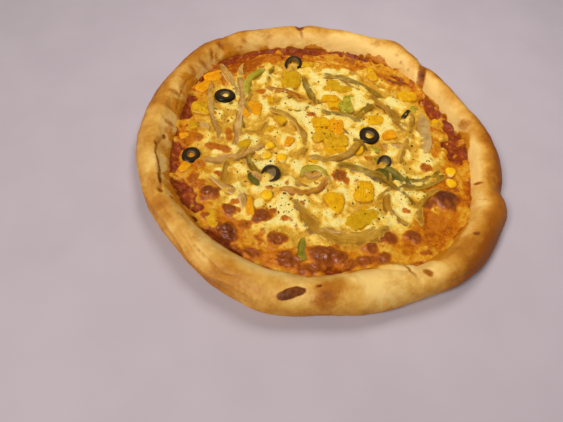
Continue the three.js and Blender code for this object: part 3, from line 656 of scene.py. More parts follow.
def cheeseMaps():
    # The top is the frame's, with swells, curds, lumps and domes. Towards its wandering edge it
    # sinks as 1 - (1 - t)^2 to just below the sauce, where t is the part of the rounding covered.
    wide, half, middle, small, tiny = (cloud(size, seed) for size, seed in cheese["clouds"])
    curd = smooth(0.7 * half + 0.4 * wide + 0.55 * middle + 0.3 * small, -1.2, 0.7)
    curd *= 1 - smooth(mapShare, 0.68, 0.92)
    top = frameTop + cheese["swell"] * wide + cheese["lumps"] * middle
    top += cheese["curds"] * (curd - 0.6) + cheese["grains"] * small * smooth(mapShare, 0.45, 0.85)
    crumbly = smooth(0.8 * half + 0.5 * small, -0.2, 1.2)
    top += cheese["crumbs"] * crumbly * (0.6 * cloud(0.9, 16) + 0.6 * tiny)
    scorched = smooth(wide * 0.5 + middle * 0.6 + small * 0.3, 0.7, 1.7) * smooth(mapShare, 0.7, 0.9)
    freckles = smooth(half * 0.6 + middle * 0.7, 1.7, 2.5) * smooth(mapShare, 0.1, 0.5)
    browned = np.maximum(0.62 * scorched, 0.42 * freckles)
    for bearing, share, length, width, turn, rise, brown, bumpy in blisters:
        far = farFrom(bearing, share, length, width, turn) + (0.17 * middle + 0.08 * small)
        dome = np.clip(1 - far ** 2, 0, 1) ** 0.6
        top += cheese["domes"] * rise * dome * (1 + bumpy * (0.35 * small + 0.15 * tiny))
        browned = np.maximum(browned, brown * (1 - smooth(far, 0.5, 1.4)))
    oil = np.maximum(0.5 * smooth(mapShare + 0.05 * wide, 0.74, 0.95),
                     patched(oilPatches, 0.22 * wide + 0.15 * middle, 0.45, 1.3))
    bare = patched(saucePatches, 0.2 * wide + 0.25 * middle, 0.5, 1.15)
    inwards = toToe - cheese["stopsShort"] - cheese["bareDepth"] * bare
    inwards += cheese["ragged"] * (0.7 * wide + 0.6 * middle + 0.3 * small)
    part = np.clip(inwards / cheese["rounding"], -1, 1)
    low = sauceTop - cheese["tuck"]
    top = low + (top - low) * np.where(part > 0, 1 - (1 - part) ** 2, part)
    top += cheese["climb"] * smooth(-toToe + 0.4 * middle, -4.5, 0.8) * (1 - bare)
    return top, browned, oil, curd, 1 - smooth(inwards, 0.5, 8), bare


cheeseTop, cheeseBrowned, cheeseOil, cheeseCurd, cheeseThin, sauceBare = cheeseMaps()
print("cheese mapped")

toppingTop = np.zeros((mapSide, mapSide))  # the highest topping over each cell
covered = np.zeros((mapSide, mapSide))
toppings = []  # name, skins, finish, slot and nodes of each piece


def settle(name, skins, finish, slot, nodes=()):
    # notes a piece and where it lies, so that strips can lie over it and the cheese can creep up to it
    toppings.append((name, skins, finish, slot, nodes))
    for skin in skins:
        grid = skin["points"]
        between = (grid + np.roll(grid, 1, axis=1)) / 2, (grid[1:] + grid[:-1]) / 2
        every = np.concatenate([part.reshape(-1, 3) for part in (grid, *between)])
        raiseMap(toppingTop, every)
        raiseMap(covered, every * (1, 1, 0) + (0, 0, 1))


def surfaceAt(x, y):
    # the height in mm of whatever is on top, cheese or topping
    return np.maximum(readMap(cheeseTop, x, y), readMap(toppingTop, x, y))


def rounded(angle, power):
    # a cosine whose rise is sharper or softer: its power, with its own sign
    return np.sign(np.cos(angle)) * np.abs(np.cos(angle)) ** power


def longAxis(points):
    # the direction in which points in a plane spread most
    return np.linalg.eigh(np.cov(points.T))[1][:, 1]


def boxOf(node):
    # the middle and the size of a node's box in mm
    low, high = (np.array(corner) * 1000 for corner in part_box(node))
    return (low + high) / 2, high - low


olives = {
    "sides": 72,
    "wave": 0.03,  # how far its outline is from round
    "hole": 0.34,  # its radius as a part of the ring's
    "holes": {"olive_north": 0.6},
    # some lean off the solid's thinnest direction
    "leans": {"olive_centre": (-0.4, -0.32, 0), "olive_small": (-0.3, -0.28, 0),
              "olive_north": (-0.05, -0.08, 0)},
    # a cap is cut from an end, so it has a pale hollow: the hollow's radius and depth
    "caps": {"olive_centre": (0.7, 0.55), "olive_small": (0.68, 0.15)},
    # outward and upward places of a cap's wall from outside to its lip, then of its hollow
    "wall": ((0.3, -1), (0.7, -0.95), (0.9, -0.7), (0.98, -0.35), (1, 0.1), (0.99, 0.5), (0.95, 0.8),
             (0.9, 0.92), (0.86, 0.9)),
    "hollow": ((1, 0.75), (0.93, 0.3), (0.84, 0.05), (0.7, -0.1), (0.5, -0.05), (0.25, 0.08)),
    "pale": (0, 0, 0, 0, 0, 0, 0.1, 0.35, 0.5, 0.75, 0.9, 1, 1, 1, 1),  # how pale these places are
}


def oliveSkin(node):
    # A ring round the solid's thinnest direction. Its section is about |u|^3.3 + |v|^3.3 = 1, and for a
    # cap the inner wall closes over a floor.
    points, _ = solidOf(node)
    middle = (points.min(0) + points.max(0)) / 2
    axes = np.linalg.eigh(np.cov((points - middle).T))[1]
    axis = axes[:, 0] * np.sign(axes[2, 0]) + olives["leans"].get(node, (0, 0, 0))
    axis /= np.linalg.norm(axis)
    side = np.cross(axis, (0, 1, 0))
    side /= np.linalg.norm(side)
    forward = np.cross(axis, side)
    radius = np.linalg.norm((points - middle) @ np.stack([side, forward], -1), axis=1).max()
    half = np.abs((points - middle) @ axis).max()
    seed = radius * 10
    angle = around(olives["sides"])
    outline = 1 + olives["wave"] * np.cos(2 * angle + seed) + 0.01 * np.cos(5 * angle + seed)
    hole, depth = olives["caps"].get(node, (olives["holes"].get(node, olives["hole"]), 0))
    hole = hole * (1 + 0.07 * np.cos(3 * angle + seed) + 0.03 * np.sin(5 * angle))
    if depth:
        (out, up), (inner, floor) = np.transpose(olives["wall"]), np.transpose(olives["hollow"])
        reach = np.concatenate([np.outer(out, outline), np.outer(inner, hole)])
        height = np.concatenate([up, floor + 0.3 * (1 - depth)])[:, None] * half
        flesh = np.array(olives["pale"])[:, None]
    else:
        turn = around(28)
        ring = rounded(turn, 0.6)
        reach = (outline + hole) / 2 + np.outer(ring, (outline - hole) / 2)
        height = (rounded(turn - math.pi / 2, 0.6) * half * (1 - 0.12 * ring ** 2))[:, None]
        flesh = (0.5 - 0.5 * ring)[:, None]
    reach = reach[..., None] * radius
    grid = (middle + reach * np.cos(angle)[:, None] * side + reach * np.sin(angle)[:, None] * forward
            + height[..., None] * axis)
    return {"points": grid, "ring": not depth, "values": {"flesh": flesh}}


corn = {
    "sides": 40,
    "rows": 26,
    "height": 1.05,  # how high a kernel stands, as a part of the frame's
    "dimple": 0.16,  # how deep its crown is pressed in, as a part of its half height
}


def kernelSkin(node):
    # An egg round the solid's middle: x narrows towards the tip, the crown is flattened and dimpled.
    points, _ = solidOf(node)
    middle = (points.min(0) + points.max(0)) / 2
    flat = points[:, :2] - points[:, :2].mean(0)
    length = longAxis(points[:, :2])
    length = length * np.sign(((flat @ length) ** 3).sum() + 1e-9)
    width = leftOf(length)
    polar, angle = np.linspace(0.06, math.pi - 0.06, corn["rows"])[:, None], around(corn["sides"])
    x, ring = np.cos(polar) * np.ones_like(angle), np.sin(polar) ** 0.85
    y = ring * rounded(angle, 0.8) * (1 - 0.25 * x)
    z = ring * np.sign(np.sin(angle)) * np.abs(np.sin(angle)) ** 0.75
    z = z * (1 - 0.12 * x) - corn["dimple"] * np.exp(-(x + 0.1) ** 2 / 0.15 - y ** 2 / 0.12) * (z > 0)
    grid = np.empty((*x.shape, 3))
    grid[..., :2] = (middle[:2] + (x * np.abs(flat @ length).max())[..., None] * length
                     + (y * np.abs(flat @ width).max())[..., None] * width)
    grid[..., 2] = middle[2] + z * np.ptp(points[:, 2]) / 2 * corn["height"]
    return {"points": grid, "values": {"tip": smooth(x, 0.55, 0.95)}}


dice = {
    "sides": 72,
    "rows": 12,  # rings over the top
    "height": 1.04,  # how high they stand, as a part of the frame's
    "spread": 1.15,  # how much wider than the frame's they are, as cheese hides their edges
    "ribs": 1.9,  # mm from one to the next
    "square": 0.75,  # how far their corners are pushed out, and the ones whose corners aren't
    "pointed": ["yellow_pepper_triangle", "yellow_pepper_wedge", "yellow_pepper_drop", "yellow_pepper_long"],
    "sink": 0.4,  # mm that they lie in the cheese
    "bits": (2.8, 1.6),  # mm, how thick the smaller pieces are and how deep they sit
    # how far the ends of some pieces rise in mm, and how deep their ribs are
    "shapes": {"yellow_pepper_south": (0.5, 0.24), "yellow_pepper_upper": (0.7, 0.16),
               "yellow_pepper_long": (-0.6, 0.16), "yellow_pepper_centre": (0.8, 0.06),
               "orange_pepper_west": (-0.6, 0.05), "orange_pepper_strip": (-1, 0)},
}


def slabSkin(outline, middle, low, thick, length, bend, ribs, seed):
    # A slab on an outline: rings run out under it, up the rounded wall and in over the top. The top
    # is bent by bend x u^2 along its length, and ribbed by a cosine across it.
    wall, over = np.linspace(-0.5, 0.5, 7) * math.pi, np.linspace(0.86, 0.06, dice["rows"])
    shares = np.concatenate([[0.4, 0.7, 0.86], 0.9 + 0.1 * np.cos(wall), over])[:, None]
    lifts = np.concatenate([[0, 0, 0.02], 0.5 + 0.46 * np.sin(wall), over * 0 + 1])[:, None]
    reach = shares[..., None] * (outline - middle)
    u, v = reach @ length / np.abs((outline - middle) @ length).max(), reach @ leftOf(length)
    uneven = (0.18 * np.sin(u * 3 + seed) + 0.14 * np.sin(v * 0.9 + seed * 2)
              + 0.1 * np.sin(u * 7 + v * 0.6 + seed * 3))
    rib = ribs * np.cos(v * math.tau / dice["ribs"] + seed)
    crown = 0.35 * (1 - shares ** 2.4)
    height = low + lifts * (thick + crown + rib + uneven) + bend * (u ** 2 - 0.4)
    grid = np.concatenate([middle + reach, height[..., None]], -1)
    return {"points": grid, "values": {"rim": shares ** 2 * (lifts > 0.3)}}


def diceSkin(node):
    # the solid's outline as a smooth closed curve, with its corners pushed out
    points, _ = solidOf(node)
    low, high = points[:, 2].min(), points[:, 2].max()
    base = points[points[:, 2] < low + 0.1][:, :2]
    middle = base.mean(0)
    base = base[np.hypot(*(base - middle).T) > 0.8]  # without the middle of the underside
    order = np.argsort(np.arctan2(*(base - middle).T[::-1]))
    places = np.arange(dice["sides"]) * len(base) / dice["sides"]
    reach = (curveThrough(base[order], places, closed=True) - middle) * dice["spread"]
    if node not in dice["pointed"]:
        sides = np.ptp(reach, axis=0)
        u, v = np.abs(reach / np.hypot(*(reach / sides).T)[:, None] / sides).T
        reach *= 0.96 * ((u ** 4 + v ** 4) ** (-dice["square"] / 4))[:, None]
    outline = middle + reach
    bend, ribs = dice["shapes"].get(node, (0.5 * math.sin(low * 40), 0.05))
    thick, foot = (high - low) * dice["height"], low - dice["sink"]
    return slabSkin(outline, middle, foot, thick, longAxis(outline - middle), bend, ribs, middle[0])


strips = {
    "spacing": 0.7,  # mm between rows
    "sides": 26,
    "sink": 0.3,  # mm that a strip lies in the cheese
    "dip": 0.8,  # mm more at its two ends
    "spread": 1.22,  # how much wider than the frame's the ribbons are, as cheese hides their edges
    "plump": 0.4,  # mm more that the green pepper strips stand up
    "stiffness": 2.2,  # mm, how far it carries a strip over an edge
    # strips with blunt ends: the width from end to end, as parts of the frame's
    "blunt": {"green_pepper_south": (0.9, 0.85, 0.5, 0.62, 0.7, 0.66)},
    "ends": 2.6,  # mm from its end to where it has its full width
    "shred": 1.5,  # mm, how thick the shreds are
    # the size and the reach in mm of the waves of its width, of its line in mm and of its lean in degrees
    "width": ((0.09, 6), (0.04, 2.6)),
    "wander": ((0.35, 7), (0.12, 3)),
    "twist": ((10, 9), (5, 4)),
}


def readStrip(node):
    # The solid is a tube of rings between two end points, the only corners ringed by corners that
    # have five neighbours each. Counting edges from one end gives each ring, and a ring's spread
    # gives its width, its thickness and the way it leans.
    points, faces = solidOf(node)
    linked = np.zeros((len(points), len(points)), bool)
    for a, b in ((0, 1), (1, 2), (2, 0)):
        linked[faces[:, a], faces[:, b]] = linked[faces[:, b], faces[:, a]] = True
    neighbours = linked.sum(1)
    start = np.flatnonzero((linked & (neighbours == 5)).sum(1) == neighbours)[0]
    steps = np.full(len(points), -1)
    steps[start], count, front = 0, 0, np.arange(len(points)) == start
    while front.any():
        count += 1
        front = linked[front].any(0) & (steps < 0)
        steps[front] = count
    rings = [points[steps == k] for k in range(1, steps.max())]
    middles = np.array([ring.mean(0) for ring in rings])
    spreads, axes = np.linalg.eigh([np.cov((ring - ring.mean(0)).T, bias=True) for ring in rings])
    crosses = axes[:, :, 2]
    heading = np.gradient(middles, axis=0)
    crosses = crosses * np.sign((crosses[:, :2] * leftOf(heading)).sum(-1))[:, None]
    thick = np.median(np.sqrt(8 * np.maximum(spreads[:, 1], 0)))
    return middles, np.sqrt(8 * spreads[:, 2]), thick, np.degrees(np.arcsin(np.median(crosses[:, 2])))


def waves(along, parts, phases):
    # a sum of sines, each with its size and its reach in mm
    return sum(size * np.sin(along / reach + phase) for (size, reach), phase in zip(parts, phases))


def ribbonSkin(middles, widths, thick, lean, seed, curl):
    # Rows follow the line through the middles. Each row is a flat loop: u runs across, the top is
    # arched as 1 - 0.7u^4 with fine ridges, and its edges stand up by the curl. The line lies on what
    # is under it, eased by the strip's stiffness, and each row turns about the line by the lean.
    middles, widths = np.asarray(middles, float)[:, :2], np.asarray(widths, float)
    size = np.hypot(*np.diff(middles, axis=0).T).sum()
    rows = int(size / strips["spacing"]) + 2
    places = np.linspace(0, len(middles) - 1, rows)
    line, width = curveThrough(middles, places), curveThrough(widths, places)
    heading = np.gradient(line, axis=0)
    heading /= np.linalg.norm(heading, axis=1, keepdims=True)
    left, along = leftOf(heading), np.linspace(0, size, rows)
    ends = np.minimum(along, size - along)
    phases = np.random.default_rng(int(seed * 100) % 9973).uniform(0, math.tau, 8)
    width = width * (1 + waves(along, strips["width"], phases[:2]))
    width = width * (0.25 + 0.75 * np.sqrt(smooth(ends, -1, strips["ends"])))
    line = line + waves(along, strips["wander"], phases[2:4])[:, None] * left
    tilt = np.radians(lean + waves(along, strips["twist"], phases[[4, 7]]))[:, None]
    under = [surfaceAt(*(line + (side * width)[:, None] * left).T) for side in np.linspace(-0.45, 0.45, 5)]
    level = np.sort(under, axis=0)[-3:].mean(0)
    reach = int(strips["stiffness"] / strips["spacing"])
    window = np.exp(-0.5 * (np.arange(-3 * reach, 3 * reach + 1) / reach) ** 2)
    eased = np.convolve(np.pad(level, 3 * reach, mode="edge"), window / window.sum(), mode="valid")
    rest = np.convolve(np.pad(np.maximum(eased, level - 0.4), 2, mode="edge"), np.ones(5) / 5, mode="valid")
    rest = rest - strips["sink"] - strips["dip"] * (1 - smooth(ends, 0, 4))
    angle = around(strips["sides"])
    u, upper = rounded(angle, 0.8), np.sin(angle) > 0
    ridges = 0.09 * np.cos(u * 7 + phases[5]) + 0.04 * np.cos(u * 13 + phases[6])
    v = np.sin(angle) * (1 - 0.7 * u ** 4) * np.where(upper, 1, 0.6) + upper * ridges * (1 - u ** 2)
    across = u * width[:, None] / 2
    upright = 0.5 * thick * v + curl * (u ** 2 - 0.4) * width[:, None] / 6
    grid = np.empty((rows, len(u), 3))
    sideways = across * np.cos(tilt) - upright * np.sin(tilt)
    grid[..., :2] = line[:, None] + sideways[..., None] * left[:, None]
    grid[..., 2] = (rest + thick * 0.3)[:, None] + across * np.sin(tilt) + upright * np.cos(tilt)
    # side runs across the strip, signed by its curl; the finish paints shade and light by it
    values = {"along": along[:, None] + seed, "across": across,
              "side": (u * math.copysign(1, curl))[None], "ends": (1 - smooth(ends, 0, 6))[:, None]}
    return {"points": grid, "values": values}


def stripSkin(node):
    # the frame's strip as a ribbon, a little wider, and with its own widths where its ends are blunt
    middles, widths, thick, lean = readStrip(node)
    widths = widths * (1 if node == "onion_slab" else strips["spread"])
    if node in strips["blunt"]:
        parts = strips["blunt"][node]
        places = np.linspace(0, len(parts) - 1, len(widths))
        widths = widths.max() * np.interp(places, range(len(parts)), parts)
    if lookOf.get(node, "").endswith("Strip"):
        thick = thick + strips["plump"]
    return ribbonSkin(middles, widths, thick, lean, abs(middles[0, 0]) + 7, 0.4 * math.sin(middles[0, 0] * 3))


def cheeseColour(palette, mottle, fleck, beside=0):
    # pale where a curd stands, then butter yellow, and golden to brown where it melted thin; beside deepens
    # it as painted shade next to the toppings
    rich = 1 - attributes(palette, "curd")[0] + mottle.off(0.9) + fleck.off(0.9) + beside
    colour = (rich * 0.6).ramp((0.02, (255, 230, 140)), (0.18, (255, 216, 100)), (0.36, (242, 190, 68)),
                               (0.6, (214, 156, 40)), (0.9, (178, 118, 20)))
    crumbs = grain(palette, 1.1, 2, 0.8)
    return layered(colour, (crumbs.between(0.58, 0.72) * 0.7, (180, 122, 26)),
                   ((1 - crumbs).between(0.6, 0.74) * 0.6, (255, 238, 150)))


def cheeseGrains(palette):
    # the wide and the fine noise that mottle the cheese
    return grain(palette, 6, 4), grain(palette, 1.8, 3, 0.3)


def melted(palette, colour, depth):
    # the last bit above the cheese takes the cheese's colour, more or less of it
    mottle, fleck = cheeseGrains(palette)
    creeping = attributes(palette, "sunk")[0] + fleck.off(0.6) + mottle.off(0.5)
    return (creeping.between(0.2, 0.9) * depth).mix(colour, cheeseColour(palette, mottle, fleck))


def oliveFinish():
    # near black skin that turns brown and then pale towards the flesh
    finish, palette = newFinish("oliveFlesh", 0.3, (0.03, 0.05, 0.025, 0.015))
    flesh, fleck = attributes(palette, "flesh")[0], grain(palette, 0.9, 3)
    colour = flesh.between(0.02, 0.35).mix((20, 14, 10), (52, 36, 18))
    colour = (flesh + fleck.off(0.3)).between(0.72, 1.05).mix(colour, (138, 114, 70))
    return dress(finish, melted(palette, colour, 0.55), 0.34 + flesh * 0.2, fleck, 0.25, 0.4)


def cornFinish():
    # two yellows in blots, paler at the tip
    finish, palette = newFinish("sweetcorn", 0.35, (0.2, 2, 1.3, 0.4))
    tip, mottle = attributes(palette, "tip")[0], grain(palette, 3, 2)
    colour = mottle.between(0.3, 0.7).mix((255, 204, 24), (250, 180, 8))
    colour = melted(palette, tip.mix(colour, (240, 214, 120)), 0.6)
    return dress(finish, colour, 0.28 + mottle * 0.15, grain(palette, 1.4, 2), 0.25, 0.35)


def pepperFinish(name, bright, deep, edge):
    # skin in two tones with a deeper rim, and paler blots painted on as highlights
    finish, palette = newFinish(name, 0.35, (0.15, 2, 1.3, 0.4), 0.25)
    rim = attributes(palette, "rim")[0]
    mottle, fleck, fine = grain(palette, 5, 3), grain(palette, 1.6, 3, 0.4), grain(palette, 0.6, 2)
    # the paler blots are painted highlights
    pale = [min(255, value + rise) for value, rise in zip(bright, (14, 30, 34))]
    colour = layered((mottle + fleck.off(0.5)).between(0.3, 0.7).mix(bright, deep),
                     ((rim + fleck.off(0.4)).between(0.85, 1.3), edge),
                     (grain(palette, 2.6, 3, 0.7).between(0.56, 0.74) * 0.5, pale))
    return dress(finish, melted(palette, colour, 0.8), 0.2 + fleck * 0.25,
                 mottle * 0.35 + fleck * 0.45 + fine * 0.2, 0.7, 0.7, fleck.between(0.4, 0.7) * 0.25)


def stripFinish(name, pale, deep, edge, light, veins, clear=0.4):
    # The colour runs in veins along the strip, so it follows the distances along and across it. One
    # side is painted darker as shade, and the other painted lighter as light shining through it.
    finish, palette = newFinish(name, 0.3, (0.2, 2, 1.4, 0.6), 0.25)
    along, across, side, ends = attributes(palette, "along", "across", "side", "ends")
    place = palette.node("ShaderNodeCombineXYZ", {0: along * 0.001, 1: across * 0.001})
    vein = grain(palette, 1, 3, stretch=(0.09, 1, 1), place=place)
    blotch = grain(palette, 7, 3)
    tone = vein * veins + blotch * (1.2 - veins) - 0.1
    # painted shade on one side and painted light on the other, by the side value and noise
    shade = side + blotch.off(0.9) + vein.off(0.5)
    thin = ends * 0.5 + vein.between(0.3, 0.7) * 0.3 + blotch.between(0.4, 0.7) * 0.3
    colour = layered(tone.between(0.3, 0.7).mix(deep, pale), (shade.between(0.35, 1) * 0.8, edge),
                     ((0 - shade).between(0.5, 1) * 0.75, light),
                     (thin * clear, cheeseColour(palette, *cheeseGrains(palette))))
    return dress(finish, melted(palette, colour, 0.85), 0.26 + vein * 0.3,
                 vein * 0.6 + blotch * 0.4, 0.45, 0.6, vein.between(0.45, 0.7) * 0.3)


# Each pepper's name, then its bright, deep and edge colours.
pepperLooks = {
    "yellow": ("yellowPepper", (239, 180, 8), (219, 151, 2), (196, 131, 4)),
    "gold": ("goldenPepper", (218, 167, 12), (198, 143, 4), (174, 120, 6)),
    "dull": ("dullPepper", (232, 176, 20), (202, 142, 8), (172, 116, 8)),
    "orange": ("orangePepper", (246, 169, 8), (228, 142, 2), (204, 116, 4)),
    "green": ("greenPepper", (198, 178, 52), (156, 136, 18), (116, 98, 12)),
    "darkGreen": ("darkGreenPepper", (112, 102, 28), (84, 72, 14), (70, 56, 8)),
    "sliver": ("oliveSliver", (66, 54, 26), (42, 34, 16), (34, 26, 12)),
}

# Each strip's name, its pale and deep colours, its edge colour for the painted shade on one side and its lit
# colour for the painted light on the other, how veined it is and how clear.
stripLooks = {
    "slab": ("onionSlab", (198, 158, 96), (172, 128, 66), (178, 122, 28), (214, 174, 108), 0.15, 0.3),
    "onion": ("onion", (194, 140, 38), (150, 98, 12), (110, 66, 4), (224, 176, 74), 0.5),
    "paleOnion": ("paleOnion", (214, 162, 92), (170, 118, 46), (132, 86, 22), (240, 202, 138), 0.4),
    "dullOnion": ("dullOnion", (162, 122, 20), (120, 82, 4), (84, 54, 0), (192, 150, 44), 0.5),
    "amberOnion": ("amberOnion", (200, 126, 16), (154, 80, 2), (118, 56, 2), (226, 162, 44), 0.5),
    "greenStrip": ("greenPepperStrip", (186, 168, 46), (146, 138, 18), (102, 92, 6), (212, 196, 92), 0.5,
                   0.55),
    "oliveStrip": ("dullGreenPepper", (152, 142, 40), (106, 104, 18), (78, 76, 8), (180, 170, 80), 0.4, 0.3),
    "darkPepper": ("darkPepperStrip", (138, 118, 28), (98, 82, 8), (66, 56, 2), (166, 142, 52), 0.6, 0.25),
}

finishes = {
    "olive": oliveFinish(),
    "corn": cornFinish(),
    **{look: pepperFinish(*row) for look, row in pepperLooks.items()},
    **{look: stripFinish(*row) for look, row in stripLooks.items()},
}

# The looks of nodes that aren't the usual ones of their kind.
lookOf = {node: look for look, nodes in {
    "gold": "yellow_pepper_north yellow_pepper_upper yellow_pepper_wedge yellow_pepper_long",
    "dull": "yellow_pepper_west",
    "orange": "orange_pepper_centre orange_pepper_west orange_pepper_strip",
    "green": "green_pepper_upper",
    "darkGreen": "green_pepper_dark green_pepper_wedge",
    "sliver": "olive_sliver",
    "greenStrip": "green_pepper_curved green_pepper_arch",
    "oliveStrip": "green_pepper_south",
    "slab": "onion_slab",
    "paleOnion": "onion_northwest onion_far_west onion_by_olive onion_southwest onion_lower_west",
    "amberOnion": "onion_upper onion_loop",
    "dullOnion": "onion_north_hook onion_lower onion_under_arc onion_north onion_north_arc",
}.items() for node in nodes.split()}

slotOf = {part["node"]: part["material_slot"] for part in frame["record"]["subparts"]}
tubes = [node for node in slotOf if node.startswith("onion") or lookOf.get(node, "").endswith("Strip")]
slabs = [node for node in slotOf if "pepper" in node and node not in tubes] + ["olive_sliver"]
crossing = ["yellow_pepper_north"]  # lies beside a strip rather than under it

# Smaller pieces: their look and slot, then bearing, share, length, width and turn of each.
smallPeppers = {
    "orangePepperBits": ("orange", "orange_pepper", [
        (8, 0.5, 13, 10, 20), (-166, 0.2, 12, 7, 70), (-160, 0.91, 11, 8, 60), (151, 0.93, 17, 12, 60),
        (142.5, 0.92, 22, 13, 30), (-178, 0.93, 9, 7, 20),
    ]),
    "yellowPepperBits": ("yellow", "yellow_pepper", [
        (15, 0.89, 10, 7, 70), (-99, 0.2, 10, 7, 0), (134, 0.46, 8, 7, 0), (82, 0.14, 16, 12, 10),
        (-62, 0.6, 6, 5, 0), (20, 0.33, 9, 6, 40), (78, 0.4, 15, 10, 0), (147, 0.28, 11, 9, 30),
    ]),
    "goldPepperBits": ("dull", "yellow_pepper", [
        (-132, 0.92, 16, 9, -60), (96, 0.77, 14, 8, 10), (176, 0.91, 11, 9, 30), (152, 0.29, 12, 7, -40),
        (168, 0.34, 9, 6, 20), (82, 0.5, 9, 6, -30), (-13, 0.13, 21, 14, 10), (30, 0.05, 19, 12, 30),
    ]),
    "greenPepperBits": ("green", "green_pepper", [
        (57.5, 0.38, 13, 15, 12), (-10, 0.38, 9, 6, -20), (26, 0.81, 9, 5, 80), (-150, 0.4, 7, 4, -60),
    ]),
}

# Thin shreds: their look and slot, then the places that each passes through and its width in mm.
shreds = {
    "onionShreds": ("onion", "onion", [
        ([(-127, 0.39), (-108, 0.395), (-96, 0.42)], 4),
        ([(149, 0.37), (174, 0.41), (177, 0.48), (176, 0.53)], 5),
        ([(134, 0.43), (123, 0.42), (112, 0.44)], 4.5),
        ([(42, 0.59), (33, 0.61), (26, 0.59), (18, 0.61), (10, 0.63)], 4),
        ([(-80, 0.72), (-72, 0.77), (-63, 0.73), (-55, 0.7)], 3),
        ([(-144, 0.72), (-152.5, 0.65), (-158.7, 0.587), (-166, 0.5)], 7),
        ([(158, 0.5), (150, 0.58), (140, 0.6)], 3.5), ([(-30, 0.5), (-40, 0.55), (-52, 0.56)], 3.5),
        ([(88, 0.62), (76, 0.64), (64, 0.6), (54, 0.62)], 3.5),
    ]),
    "darkPepperShreds": ("darkPepper", "green_pepper", [
        ([(-19, 0.37), (-25, 0.42), (-28, 0.5), (-28.5, 0.58), (-28, 0.65)], 8),
        ([(-16, 0.41), (-22, 0.45), (-26, 0.5)], 6),
    ]),
    "dullOnionShreds": ("dullOnion", "onion", [
        ([(94, 0.4), (87, 0.34), (79, 0.31)], 5), ([(-28, 0.62), (-26, 0.69), (-21, 0.76), (-15, 0.82)], 5),
        ([(132, 0.33), (122, 0.27), (105, 0.3), (98, 0.37)], 3),
        ([(46, 0.56), (44, 0.47), (41, 0.38), (28, 0.36)], 4.5), ([(30, 0.2), (0, 0.26), (-14, 0.36)], 3.5),
        ([(-161, 0.48), (-150, 0.495), (-140, 0.5), (-131, 0.47)], 5.5),
        ([(160, 0.66), (150, 0.7), (146, 0.78)], 4), ([(36, 0.36), (41, 0.46), (42.5, 0.57)], 8),
        ([(124, 0.63), (119, 0.72), (112, 0.78)], 5),
        ([(-40, 0.43), (-38, 0.5), (-37.3, 0.58), (-38.8, 0.68), (-39.7, 0.73)], 4.5),
    ]),
    "paleOnionShreds": ("paleOnion", "onion", [
        ([(70, 0.79), (66, 0.75), (61, 0.73)], 3.5), ([(172, 0.85), (177, 0.81), (179, 0.78)], 7),
        ([(-5, 0.42), (-4, 0.5), (-3, 0.57)], 9),
        ([(127, 0.9), (133, 0.8), (145, 0.63), (166, 0.585), (-177, 0.56), (-168, 0.57)], 6.5),
        ([(135, 1), (136, 0.94), (137, 0.88)], 4), ([(139, 0.89), (141, 0.82), (143, 0.76)], 3.5),
        ([(-89, 0.69), (-83, 0.73), (-78, 0.76)], 4), ([(-112, 0.3), (-95, 0.33), (-80, 0.3)], 3.5),
    ]),
}


def pieceName(node):
    # a node's name in camelCase
    first, *others = node.split("_")
    return first + "".join(word.capitalize() for word in others)


def settleNodes(nodes, shape, usual):
    # a piece for each node, in the node's own look or the usual one
    for node in nodes:
        settle(pieceName(node), [shape(node)], finishes[lookOf.get(node, usual)], slotOf[node], [node])


def bitSkin(rng, bearing, share, length, width, turn):
    # a slab on a square, |u|^4 + |v|^4 = 1, whose sides are drawn in and out by slow waves
    middle, (thick, sunk) = placeAt(bearing, share), dice["bits"]
    along = np.array([math.cos(math.radians(turn)), math.sin(math.radians(turn))])
    angle, (a, b, c) = around(dice["sides"]), rng.uniform(0, math.tau, 3)
    square = (np.cos(angle) ** 4 + np.sin(angle) ** 4) ** (-1 / 4)
    square *= 1 + 0.1 * np.cos(angle + a) + 0.05 * np.cos(2 * angle + b)
    square *= 1 + 0.06 * np.cos(3 * angle + c) + 0.025 * np.cos(7 * angle + a)
    outline = middle + (np.outer(square * np.cos(angle), along * length / 2.2)
                        + np.outer(square * np.sin(angle), leftOf(along) * width / 2.2))
    low = surfaceAt(*middle) - sunk
    return slabSkin(outline, middle, low, thick, along, rng.uniform(-0.5, 0.5), 0.04, a)


def shredSkin(rng, places, width):
    # a ribbon through the places, narrowing by 1 - u^2 / 4 towards its ends
    middles = placeAt(*np.array(places, float).T)
    middles = curveThrough(middles, np.linspace(0, len(middles) - 1, 9))
    widths = width * (1 - 0.25 * np.linspace(-1, 1, 9) ** 2)
    lean, seed, curl = (rng.uniform(low, high) for low, high in ((-12, 12), (5, 80), (-0.4, 0.4)))
    return ribbonSkin(middles, widths, strips["shred"], lean, seed, curl)


def settleBits(kinds, shape, seed):
    # a piece for each kind, with a skin for each of its rows
    rng = np.random.default_rng(seed)
    for name, (look, slot, rows) in kinds.items():
        settle(name, [shape(rng, *row) for row in rows], finishes[look], slot)


settleNodes([node for node in slabs if node not in crossing], diceSkin, "yellow")
settleBits(smallPeppers, bitSkin, 5)
settleNodes(tubes, stripSkin, "onion")
settleNodes(crossing, diceSkin, "yellow")
settleBits(shreds, shredSkin, 8)
settleNodes([node for node in slotOf if node.startswith("corn")], kernelSkin, "corn")
settleNodes([node for node in slotOf if node.startswith("olive") and node not in slabs], oliveSkin, "olive")
print("toppings shaped")

creep = {
    "rise": 0.85,  # mm that the melted cheese climbs up whatever sits in it
    "reach": 1,  # mm
    "cover": 0.2,  # mm of cheese over the places where it has run over them
    # how high up each olive the cheese comes inside it, as a part of the olive's height
    "holes": {"olive_north": 0.5, "olive_centre": 0.1, "olive_small": 0.3, "olive_west": 0.45,
              "olive_southwest": 0.55, "olive_east": 0.6},
    # where it has run over an olive: mm from its middle, reach in mm, and how high up it
    "over": [("olive_north", -1, -5, 4.6, 0.95), ("olive_centre", -3.6, -3.4, 4.6, 0.95),
             ("olive_small", -1.6, -3.8, 4, 0.95)],
}


